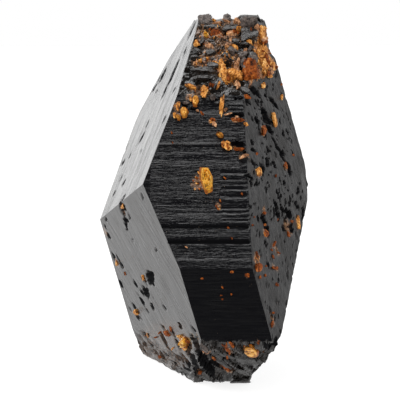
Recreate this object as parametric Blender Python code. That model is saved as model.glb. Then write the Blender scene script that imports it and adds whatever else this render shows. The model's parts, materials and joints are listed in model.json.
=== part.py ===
"""A stout black tourmaline crystal standing on its broken end, with mica and ochre set in its faces.

The crystal's c axis lies along X, so its striations run along X too. Z is up, and the broken base
rests on z = 0. A face is given by the tilt of its normal from the c axis, its azimuth about that
axis (0 faces -Y, 90 faces +Z) and its distance from CORE. Lengths in the tables are millimetres,
and heights are over a datum a little above the base, in the broken foot.
"""

import math
import random

import bmesh
import bpy
from mathutils import Vector

MM = 0.001
LEFT, RIGHT = -1, 1

CREST_TOP = 60.0  # the highest broken lump, over the datum
FOOT_DEPTH = 1.0  # how far the base lies below the datum
CORE = Vector((0.0, 0.0, CREST_TOP / 2))
ROUGH_BLOCK = 100.0  # side of the block that the faces are cut from
PRISM = 90.0  # tilt of a prism face
GAP = 0.25  # clearance round a piece that sits in a socket
GROOVE_REACH = 20.0  # a groove runs past both ends of the prism zone

# name: (end of the c axis, tilt, azimuth, distance from CORE)
FACES = {
    "left_upper": (LEFT, 25.2, 70.7, 12.1),
    "left_lower": (LEFT, 24.4, -45.6, 14.3),
    "left_back": (LEFT, 33.0, -164.0, 25.2),
    "right_front": (RIGHT, 22.1, 33.6, 17.0),
    "right_back": (RIGHT, 26.0, 137.0, 17.7),
    "right_under": (RIGHT, 25.0, -112.0, 17.0),
    "prism_striated": (RIGHT, PRISM, 25.4, 25.1),
    "prism_smooth": (RIGHT, PRISM, -6.5, 33.7),
    "prism_crest": (RIGHT, PRISM, 53.8, 25.2),
    "prism_high_back": (RIGHT, PRISM, 114.0, 28.1),
    "prism_mid_back": (RIGHT, PRISM, 134.0, 29.3),
    "prism_back": (RIGHT, PRISM, 174.0, 30.4),
    "prism_low_back": (RIGHT, PRISM, -126.0, 35.8),
    "broken_front": (RIGHT, PRISM, -61.0, 34.5),
    "broken_top": (RIGHT, PRISM, 90.0, 28.8),
    "base": (RIGHT, PRISM, -90.0, CREST_TOP / 2 + FOOT_DEPTH),
}

# grooves along X: (face, height, left end or None for the whole width, width, depth)
GROOVES = [
    ("prism_striated", 43.1, None, 0.45, 0.20),
    ("prism_striated", 39.4, None, 0.55, 0.30),
    ("prism_striated", 37.2, None, 0.40, 0.18),
    ("prism_striated", 28.1, None, 0.50, 0.25),
    ("prism_striated", 26.1, None, 1.00, 0.40),
    ("prism_striated", 23.8, None, 0.75, 0.35),
    ("prism_striated", 21.6, None, 0.45, 0.20),
    ("prism_striated", 34.6, 4.6, 0.45, 0.45),
    ("prism_striated", 33.6, 4.9, 0.45, 0.50),
    ("prism_striated", 32.5, 4.4, 0.45, 0.50),
    ("prism_striated", 31.4, 4.7, 0.45, 0.45),
    ("prism_striated", 30.3, 4.2, 0.45, 0.50),
    ("prism_striated", 29.2, 4.5, 0.45, 0.40),
    ("prism_back", 37.5, None, 0.60, 0.30),
    ("prism_back", 33.0, None, 0.90, 0.40),
    ("prism_back", 29.5, None, 0.50, 0.25),
    ("prism_back", 22.0, None, 0.80, 0.35),
    ("prism_back", 15.5, None, 0.50, 0.25),
    ("prism_mid_back", 49.5, None, 0.70, 0.30),
    ("prism_mid_back", 45.5, None, 0.50, 0.25),
    ("prism_low_back", 6.5, None, 0.60, 0.30),
    ("prism_low_back", 3.5, None, 0.50, 0.20),
]

# angular pits: (face, x, z, length, width, depth, turn from upright)
PITS = [
    ("right_front", 9.9, 46.9, 4.2, 1.8, 0.9, 40),
    ("right_front", 12.7, 45.5, 3.6, 1.1, 0.8, 30),
    ("right_front", 11.0, 42.8, 3.8, 1.6, 1.0, 22),
    ("right_front", 11.7, 40.6, 3.0, 1.1, 0.8, 40),
    ("right_front", 12.7, 37.6, 2.4, 0.8, 0.6, 30),
    ("right_front", 13.7, 36.2, 3.8, 1.2, 0.9, 42),
    ("right_front", 15.0, 33.5, 4.0, 1.4, 0.9, 20),
    ("right_front", 11.0, 34.6, 2.6, 1.0, 0.7, -15),
    ("right_front", 13.0, 28.9, 3.8, 1.2, 0.9, 18),
    ("right_front", 15.7, 27.6, 3.4, 2.0, 1.1, 30),
    ("right_front", 15.4, 24.6, 3.6, 1.5, 1.0, 25),
    ("right_front", 11.4, 26.7, 3.6, 1.2, 0.9, 20),
    ("right_front", 12.9, 12.0, 2.4, 0.8, 0.6, 8),
    ("left_lower", -8.2, 15.8, 3.0, 2.6, 1.2, 10),
    ("left_lower", -9.6, 12.8, 2.2, 2.0, 0.9, 35),
    ("left_lower", -14.0, 26.2, 6.0, 1.6, 0.8, 30),
    ("left_lower", -15.6, 16.4, 2.6, 1.8, 0.9, 20),
    ("left_upper", -5.9, 51.4, 6.5, 1.0, 0.5, -28),
    ("left_upper", -9.6, 41.0, 4.5, 1.0, 0.5, -26),
    ("left_back", -14.6, 30.0, 4.5, 1.4, 0.8, 20),
    ("left_back", -12.0, 22.0, 3.0, 1.6, 0.9, -30),
    ("left_back", -10.0, 13.5, 3.4, 1.2, 0.7, 15),
    ("right_back", 12.5, 40.0, 4.0, 1.4, 0.8, -35),
    ("right_back", 10.0, 50.0, 3.2, 1.2, 0.7, -20),
    ("right_back", 14.0, 33.0, 2.8, 1.3, 0.8, 10),
    ("right_under", 14.0, 24.0, 4.2, 1.4, 0.8, 30),
    ("right_under", 11.0, 14.0, 3.2, 1.3, 0.7, -20),
    ("right_under", 7.5, 7.0, 2.6, 1.1, 0.6, 40),
]

# blocks standing on the broken crest: (x, width, top)
CREST_BLOCKS = [(1.2, 3.2, 59.5), (4.9, 1.9, 59.2), (8.4, 4.8, CREST_TOP)]
# the broken crest's rubble: rows of chunks between two heights, each row moved by the crest's lean
CREST_ROWS = 6
CREST_LOW, CREST_HIGH = 47.6, 57.6
CREST_LEFT, CREST_LEAN, CREST_PITCH = -2.0, 0.24, 2.8
# hollows of the broken front: (x, z, (width, length, thickness))
FOOT_HOLLOWS = [
    (2.2, 6.0, (3.4, 2.6, 1.8)),
    (4.6, 3.2, (4.6, 1.6, 1.6)),
    (8.6, 3.4, (2.4, 2.0, 1.6)),
    (11.2, 4.6, (2.6, 2.2, 1.8)),
    (1.4, 2.2, (2.6, 1.6, 1.4)),
    (11.6, 7.4, (3.4, 1.4, 1.4)),
]
RIM_CHIPS = 7  # chips along the lower left rim

# mica books: (name, face, x, z, width, length, height, turn, sides)
BOOKS = [
    ("mica_book_centre", "prism_striated", 2.2, 33.2, 2.1, 4.2, 1.0, -8, 7),
    ("mica_blade_crest", "prism_striated", 4.4, 45.0, 0.9, 4.2, 0.8, 0, 4),
    ("mica_plate_left", "prism_striated", -1.6, 43.7, 1.5, 2.0, 0.7, 10, 7),
    ("mica_plate_outer", "prism_striated", -3.4, 43.5, 1.5, 1.5, 0.5, 20, 6),
    ("mica_plate_upper", "prism_striated", 0.1, 45.7, 1.4, 2.0, 0.7, -12, 6),
    ("mica_flake_middle", "prism_striated", 4.0, 40.1, 1.7, 1.0, 0.5, -14, 6),
    ("mica_flake_small", "prism_striated", 2.8, 42.2, 1.2, 1.3, 0.4, 30, 5),
    ("mica_book_lower_left", "left_lower", -2.3, 6.9, 1.7, 3.6, 0.9, 14, 6),
    ("mica_leaf_base", "broken_front", 9.0, 6.4, 2.6, 2.0, 0.7, 12, 6),
    ("mica_flake_top", "prism_crest", 1.5, 56.2, 1.5, 1.2, 0.6, 25, 6),
]

# angular lumps of ochre and iron stain: (name, slot, face, x, z, (width, length, thickness), turn)
LUMPS = [
    ("ochre_mass_centre", "ochre", "prism_crest", 5.2, 50.0, (3.4, 4.6, 2.2), 20),
    ("ochre_mass_edge", "ochre", "right_front", 11.4, 52.4, (3.0, 8.4, 2.4), 8),
    ("iron_block_crest", "iron_brown", "prism_crest", 8.7, 50.2, (2.4, 3.4, 2.0), 5),
    ("ochre_slab_crest", "ochre", "prism_crest", -0.9, 47.9, (1.0, 2.3, 0.9), 62),
    ("ochre_grain_crest", "ochre", "prism_crest", 1.5, 47.1, (1.5, 1.3, 0.9), 0),
    ("iron_chain_front", "iron_brown", "prism_striated", 6.6, 38.6, (3.8, 1.3, 0.8), -14),
    ("iron_patch_front", "iron_brown", "prism_striated", 6.9, 43.1, (2.2, 1.1, 0.8), -6),
    ("ochre_grain_right_high", "ochre", "right_front", 10.9, 48.0, (0.8, 1.3, 0.7), 10),
    ("ochre_grain_right_upper", "ochre", "right_front", 12.5, 42.2, (0.8, 2.2, 0.7), 12),
    ("iron_grain_right_upper", "iron_brown", "right_front", 10.4, 40.4, (1.4, 1.8, 0.9), 10),
    ("iron_grain_right_middle", "iron_brown", "right_front", 9.9, 34.1, (1.0, 1.5, 0.8), 0),
    ("iron_grain_right_lower", "iron_brown", "right_front", 11.4, 24.3, (1.2, 1.7, 0.8), 0),
    ("iron_grain_corner", "iron_brown", "right_front", 10.5, 19.9, (1.2, 2.0, 0.8), 0),
    ("iron_grain_right_foot", "iron_brown", "right_front", 13.0, 18.9, (1.3, 1.2, 0.8), 30),
    ("iron_lump_base", "iron_brown", "broken_front", 5.4, 7.5, (2.2, 1.6, 1.0), 20),
    ("ochre_grain_left_foot", "ochre", "left_lower", -5.4, 7.0, (0.9, 1.6, 0.8), 20),
    ("ochre_grain_left_rim", "ochre", "left_lower", -12.4, 7.6, (0.9, 2.2, 0.8), 10),
]

# name: (colour, roughness, metallic)
MATERIALS = {
    "tourmaline_black": ((0.012, 0.012, 0.013, 1.0), 0.28, 0.0),
    "mica_gold": ((0.62, 0.36, 0.07, 1.0), 0.25, 0.35),
    "ochre": ((0.55, 0.27, 0.08, 1.0), 0.65, 0.0),
    "iron_brown": ((0.24, 0.09, 0.045, 1.0), 0.7, 0.0),
}


def clear_scene():
    for obj in list(bpy.data.objects):
        bpy.data.objects.remove(obj, do_unlink=True)


def make_materials():
    made = {}
    for name, (colour, roughness, metallic) in MATERIALS.items():
        material = bpy.data.materials.new(name)
        material.use_nodes = True
        shader = material.node_tree.nodes["Principled BSDF"]
        shader.inputs["Base Color"].default_value = colour
        shader.inputs["Roughness"].default_value = roughness
        shader.inputs["Metallic"].default_value = metallic
        material.diffuse_color = colour
        made[name] = material
    return made


def normal_of(face):
    end, tilt, azimuth, _ = FACES[face]
    t, a = math.radians(tilt), math.radians(azimuth)
    return Vector((end * math.cos(t), -math.sin(t) * math.cos(a), math.sin(t) * math.sin(a)))


def spot_on(face, x, z):
    """The point of a face that has this x and z, with the face's own axes there: across, up, out."""
    out = normal_of(face)
    reach = FACES[face][3] + out.dot(CORE)
    spot = Vector((x, (reach - out.x * x - out.z * z) / out.y, z))
    up = (Vector((0.0, 0.0, 1.0)) - out * out.z).normalized()
    return spot, up.cross(out), up, out


def turned(across, up, degrees):
    """The two axes turned about the face's normal, so that up leans toward -across."""
    c, s = math.cos(math.radians(degrees)), math.sin(math.radians(degrees))
    return across * c + up * s, up * c - across * s


def new_object(name, bm, material=None, cutter=False):
    """An object from a mesh in table lengths: raised from the datum, so that the base is at z = 0."""
    bmesh.ops.recalc_face_normals(bm, faces=bm.faces)
    bmesh.ops.translate(bm, vec=(0.0, 0.0, FOOT_DEPTH), verts=bm.verts)
    bmesh.ops.scale(bm, vec=(MM, MM, MM), verts=bm.verts)
    mesh = bpy.data.meshes.new(name)
    bm.to_mesh(mesh)
    bm.free()
    obj = bpy.data.objects.new(name, mesh)
    bpy.context.scene.collection.objects.link(obj)
    if material:
        mesh.materials.append(material)
    if cutter:
        obj.hide_render = True
        obj.display_type = "WIRE"
    return obj


def add_hull(bm, points):
    """Adds the convex solid round the points, leaving out the points inside it."""
    verts = [bm.verts.new(p) for p in points]
    result = bmesh.ops.convex_hull(bm, input=verts, use_existing_faces=False)
    inside = {v for v in result["geom_interior"] + result["geom_unused"] if isinstance(v, bmesh.types.BMVert)}
    bmesh.ops.delete(bm, geom=[v for v in inside if v.is_valid], context="VERTS")


def boolean(target, name, operation, cutter):
    modifier = target.modifiers.new(name, "BOOLEAN")
    modifier.operation = operation
    modifier.solver = "EXACT"
    modifier.use_self = True
    modifier.object = cutter


def faceted_block():
    """The bare crystal: a block cut by every face in turn."""
    bm = bmesh.new()
    bmesh.ops.create_cube(bm, size=2 * ROUGH_BLOCK)
    for face in FACES:
        out = normal_of(face)
        cut = bmesh.ops.bisect_plane(
            bm,
            geom=bm.verts[:] + bm.edges[:] + bm.faces[:],
            plane_co=CORE + out * FACES[face][3],
            plane_no=out,
            clear_outer=True,
        )
        rim = [e for e in cut["geom_cut"] if isinstance(e, bmesh.types.BMEdge)]
        bmesh.ops.contextual_create(bm, geom=rim)
    return bm


def groove_points(face, z, x_from, x_to, width, depth):
    """A groove of triangular section along X, cut into a prism face at height z."""
    spot, _, up, out = spot_on(face, 0.0, z)
    lift = 0.4
    section = [up * width * 0.7 + out * lift, -up * width * 0.7 + out * lift, -out * depth]
    return [Vector((x, spot.y, spot.z)) + s for x in (x_from, x_to) for s in section]


def pit_points(rng, face, x, z, length, width, depth, turn):
    """An angular pit: a skewed six-sided mouth above the face and a short ridge at the bottom."""
    spot, across, up, out = spot_on(face, x, z)
    side, along = turned(across, up, turn)
    mouth = [(0.1, 0.5), (0.5, 0.2), (0.45, -0.25), (-0.1, -0.5), (-0.5, -0.15), (-0.4, 0.3)]
    flare = 1.25
    points = []
    for u, v in mouth:
        u, v = u + rng.uniform(-0.08, 0.08), v + rng.uniform(-0.05, 0.05)
        points.append(spot + side * u * width * flare + along * v * length * flare + out * 0.3)
    for v in (0.22, -0.25):
        points.append(spot + side * rng.uniform(-0.1, 0.1) * width + along * v * length - out * depth)
    return points


def chunk_points(rng, centre, axes, size, count=9):
    """The corners of an angular lump: points spread evenly over an ellipsoid, each one jogged."""
    points = []
    for i in range(count):
        rise = 1 - 2 * (i + 0.5) / count
        ring, turn = math.sqrt(1 - rise * rise), i * math.pi * (3 - math.sqrt(5))
        unit = Vector((ring * math.cos(turn), ring * math.sin(turn), rise))
        unit *= rng.uniform(0.85, 1.15)
        points.append(centre + sum((a * c * s / 2 for a, c, s in zip(axes, unit, size)), Vector()))
    return points


def widened(points, gap):
    """The points moved out by the gap along all three axes, so that their hull clears the old one."""
    steps = [Vector(step) * sign for step in ((1, 0, 0), (0, 1, 0), (0, 0, 1)) for sign in (gap, -gap)]
    return [p + step for p in points for step in steps]


def book_outline(rng, width, length, sides, spread):
    """The outline of a mica book as (across, along) pairs, spread outward by a clearance."""
    outline = []
    for i in range(sides):
        angle = 2 * math.pi * (i + 0.5) / sides
        reach = rng.uniform(0.9, 1.06)
        half_width, half_length = width * reach / 2 + spread, length * reach / 2 + spread
        outline.append((math.cos(angle) * half_width, math.sin(angle) * half_length))
    return outline


def make_book(rng, face, x, z, width, length, height, turn, sides):
    """A mica book, whose leaves step in toward the top, and the points of its socket."""
    spot, across, up, out = spot_on(face, x, z)
    side, along = turned(across, up, turn)
    seed = rng.random()
    outline = book_outline(random.Random(seed), width, length, sides, 0.0)
    wider = book_outline(random.Random(seed), width, length, sides, GAP)
    sunk = 0.55 * height
    # (height of the ring over the face, share of the outline, drift along the leaf)
    rings = [
        (-sunk, 1.0, 0.0),
        (0.10 * height, 1.0, 0.0),
        (0.10 * height, 0.88, 0.02),
        (0.30 * height, 0.86, 0.02),
        (0.30 * height, 0.70, 0.06),
        (0.45 * height, 0.66, 0.06),
    ]
    bm = bmesh.new()
    loops = []
    for level, share, drift in rings:
        centre = spot + out * level + along * drift * length
        loops.append([bm.verts.new(centre + side * u * share + along * v * share) for u, v in outline])
    for low, high in zip(loops, loops[1:]):
        for i in range(sides):
            j = (i + 1) % sides
            bm.faces.new((low[i], low[j], high[j], high[i]))
    bm.faces.new(loops[0][::-1])
    bm.faces.new(loops[-1])
    socket = [
        spot + side * u + along * v + out * level for level in (-sunk - GAP, height + 1.0) for u, v in wider
    ]
    return bm, socket


def make_lump(rng, face, x, z, size, turn):
    """A lump of ochre half sunk in the face, and the points of its socket."""
    spot, across, up, out = spot_on(face, x, z)
    side, along = turned(across, up, turn)
    points = chunk_points(rng, spot - out * 0.1 * size[2], (side, along, out), size, count=11)
    bm = bmesh.new()
    add_hull(bm, points)
    return bm, widened(points, GAP)


def broken_lumps(rng):
    """The chunks added to and taken from the broken crest, the broken front and the rim of the base."""
    x_axis, y_axis, z_axis = Vector((1.0, 0.0, 0.0)), Vector((0.0, 1.0, 0.0)), Vector((0.0, 0.0, 1.0))
    added, taken = bmesh.new(), bmesh.new()
    for x, width, top in CREST_BLOCKS:
        block_axes = (x_axis, y_axis, z_axis)
        points = chunk_points(rng, Vector((x, 0.4, top)), block_axes, (width, 5.4, 3.0), count=12)
        drop = Vector((0.0, 0.0, top - max(p.z for p in points)))
        add_hull(added, [p + drop for p in points])
    for row in range(CREST_ROWS):
        z = CREST_LOW + (CREST_HIGH - CREST_LOW) * row / (CREST_ROWS - 1)
        for column in range(4):
            x = CREST_LEFT + (z - CREST_LOW) * CREST_LEAN + CREST_PITCH * (column + 0.5 * (row % 2))
            spot, _, up, out = spot_on("prism_crest", x + rng.uniform(-0.4, 0.4), z + rng.uniform(-0.4, 0.4))
            size = Vector((rng.uniform(2.0, 4.4), rng.uniform(1.2, 2.6), rng.uniform(1.6, 3.0)))
            if (row + column) % 3 == 0:
                add_hull(added, chunk_points(rng, spot - out * 0.15 * size.z, (x_axis, up, out), size * 0.9))
            else:
                add_hull(taken, chunk_points(rng, spot + out * 0.15 * size.z, (x_axis, up, out), size))
    for x, z, size in FOOT_HOLLOWS:
        spot, _, up, out = spot_on("broken_front", x, z)
        add_hull(taken, chunk_points(rng, spot + out * 0.3, (x_axis, up, out), size))
    for step in range(RIM_CHIPS):
        x = -11.4 + 8.8 * step / (RIM_CHIPS - 1)
        spot, across, up, out = spot_on("left_lower", x, rng.uniform(0.4, 1.4) - FOOT_DEPTH)
        size = (rng.uniform(1.8, 3.6), rng.uniform(1.4, 2.6), rng.uniform(1.6, 2.4))
        add_hull(taken, chunk_points(rng, spot + out * 0.2, (across, up, out), size))
    return added, taken


def build():
    clear_scene()
    materials = make_materials()
    rng = random.Random(11)
    crystal = new_object("tourmaline_crystal", faceted_block(), materials["tourmaline_black"])

    added, taken = broken_lumps(rng)
    boolean(crystal, "broken_hollows", "DIFFERENCE", new_object("lumps_taken", taken, cutter=True))
    boolean(crystal, "broken_lumps", "UNION", new_object("lumps_added", added, cutter=True))

    grooves = bmesh.new()
    for face, z, start, width, depth in GROOVES:
        left = -GROOVE_REACH if start is None else start
        add_hull(grooves, groove_points(face, z, left, GROOVE_REACH, width, depth))
    boolean(crystal, "striations", "DIFFERENCE", new_object("groove_cutter", grooves, cutter=True))

    pits = bmesh.new()
    for pit in PITS:
        add_hull(pits, pit_points(rng, *pit))
    boolean(crystal, "pits", "DIFFERENCE", new_object("pit_cutter", pits, cutter=True))

    sockets = bmesh.new()
    for name, *book in BOOKS:
        bm, socket = make_book(rng, *book)
        new_object(name, bm, materials["mica_gold"])
        add_hull(sockets, socket)
    for name, slot, *lump in LUMPS:
        bm, socket = make_lump(rng, *lump)
        new_object(name, bm, materials[slot])
        add_hull(sockets, socket)
    boolean(crystal, "sockets", "DIFFERENCE", new_object("socket_cutter", sockets, cutter=True))


build()
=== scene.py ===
"""Finished surface of a black tourmaline crystal: faces, cuts, striae and broken ends, the mica, ochre and
iron grains on it, their materials, and a plain pale studio. Sizes are in millimetres up to the mesh."""
import itertools
import json
import math

import bpy
import numpy as np
from mathutils import Matrix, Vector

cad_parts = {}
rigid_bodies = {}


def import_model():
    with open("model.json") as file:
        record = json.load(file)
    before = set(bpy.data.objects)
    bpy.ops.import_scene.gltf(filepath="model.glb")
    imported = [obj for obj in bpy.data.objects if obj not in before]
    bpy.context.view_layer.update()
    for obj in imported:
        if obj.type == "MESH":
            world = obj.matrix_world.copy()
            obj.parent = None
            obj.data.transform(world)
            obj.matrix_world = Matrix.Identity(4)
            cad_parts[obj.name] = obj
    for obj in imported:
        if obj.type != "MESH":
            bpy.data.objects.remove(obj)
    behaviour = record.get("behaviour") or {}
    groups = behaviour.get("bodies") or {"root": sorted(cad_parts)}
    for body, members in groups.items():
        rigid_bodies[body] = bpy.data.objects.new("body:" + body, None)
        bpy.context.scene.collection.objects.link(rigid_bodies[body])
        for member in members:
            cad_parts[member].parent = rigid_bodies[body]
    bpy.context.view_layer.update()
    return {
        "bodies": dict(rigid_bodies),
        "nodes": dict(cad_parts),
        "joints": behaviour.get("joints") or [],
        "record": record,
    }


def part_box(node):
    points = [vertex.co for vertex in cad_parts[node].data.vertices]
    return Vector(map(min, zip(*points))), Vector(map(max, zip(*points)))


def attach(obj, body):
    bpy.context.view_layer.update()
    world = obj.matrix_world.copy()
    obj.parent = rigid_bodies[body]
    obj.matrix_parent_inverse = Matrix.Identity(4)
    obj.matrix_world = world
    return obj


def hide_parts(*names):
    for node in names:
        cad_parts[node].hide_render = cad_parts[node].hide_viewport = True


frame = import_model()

MM = 0.001
CRYSTAL = "tourmaline_crystal"
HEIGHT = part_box(CRYSTAL)[1].z / MM
# The point that the faces' distances are measured from.
CREST_OVER_CORE = 30.0
CORE = np.array([0.0, 0.0, HEIGHT - CREST_OVER_CORE])

# The camera: where it stands, which way it turns and tips, and the columns and rows of its square frame.
CAMERA_PLACE = np.array([18.502, -409.471, 57.796])
CAMERA_TURN, CAMERA_DROP = math.radians(2.6), math.radians(4.0)
LENS, SENSOR, FRAME_SIDE = 216.0, 36.0, 400

# Faces by the end of the c axis that they close, 0 for neither, the tilt of their normal from that axis,
# its azimuth about the axis and their distance from the core. Those tilted by 90 form the prism band.
UPPER, LOWER, RIGHT = "left_upper", "left_lower", "right_front"
FLUTED, SMOOTH, CREST = "prism_striated", "prism_smooth", "prism_crest"
FOOT, TOP = "broken_front", "broken_top"
PRISM = 90
FACES = {
    UPPER: (-1, 25.2, 70.7, 12.1),
    LOWER: (-1, 24.4, -45.6, 14.3),
    "left_back": (-1, 33.0, -164.0, 25.2),
    RIGHT: (1, 22.1, 33.6, 17.0),
    "right_back": (1, 26.0, 137.0, 17.7),
    "right_under": (1, 25.0, -112.0, 17.0),
    FOOT: (0, PRISM, -61.0, 34.5),
    SMOOTH: (0, PRISM, -6.5, 33.7),
    FLUTED: (0, PRISM, 25.4, 25.1),
    CREST: (0, PRISM, 53.8, 25.2),
    TOP: (0, PRISM, 90.0, 28.8),
    "prism_high_back": (0, PRISM, 114.0, 28.1),
    "prism_mid_back": (0, PRISM, 134.0, 29.3),
    "prism_back": (0, PRISM, 174.0, 30.4),
    "prism_low_back": (0, PRISM, 234.0, 35.8),
    "base": (0, PRISM, 270.0, 31.0),
}
NUMBER = {face: number for number, face in enumerate(FACES)}
LEFT_END, RIGHT_END = (UPPER, LOWER, "left_back"), (RIGHT, "right_back", "right_under")
# Grid lines across each band face, and from the left apex to the band, along it, and on to the right apex.
COLUMNS = {FOOT: 36, SMOOTH: 40, FLUTED: 160, CREST: 88, TOP: 16, "prism_high_back": 20,
           "prism_mid_back": 26, "prism_back": 22, "prism_low_back": 14, "base": 24}
LEFT_ROWS, BAND_ROWS, RIGHT_ROWS = 70, 70, 82
ON_FACE = 1e-6  # a point nearer than this to a face's plane lies on it

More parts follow.
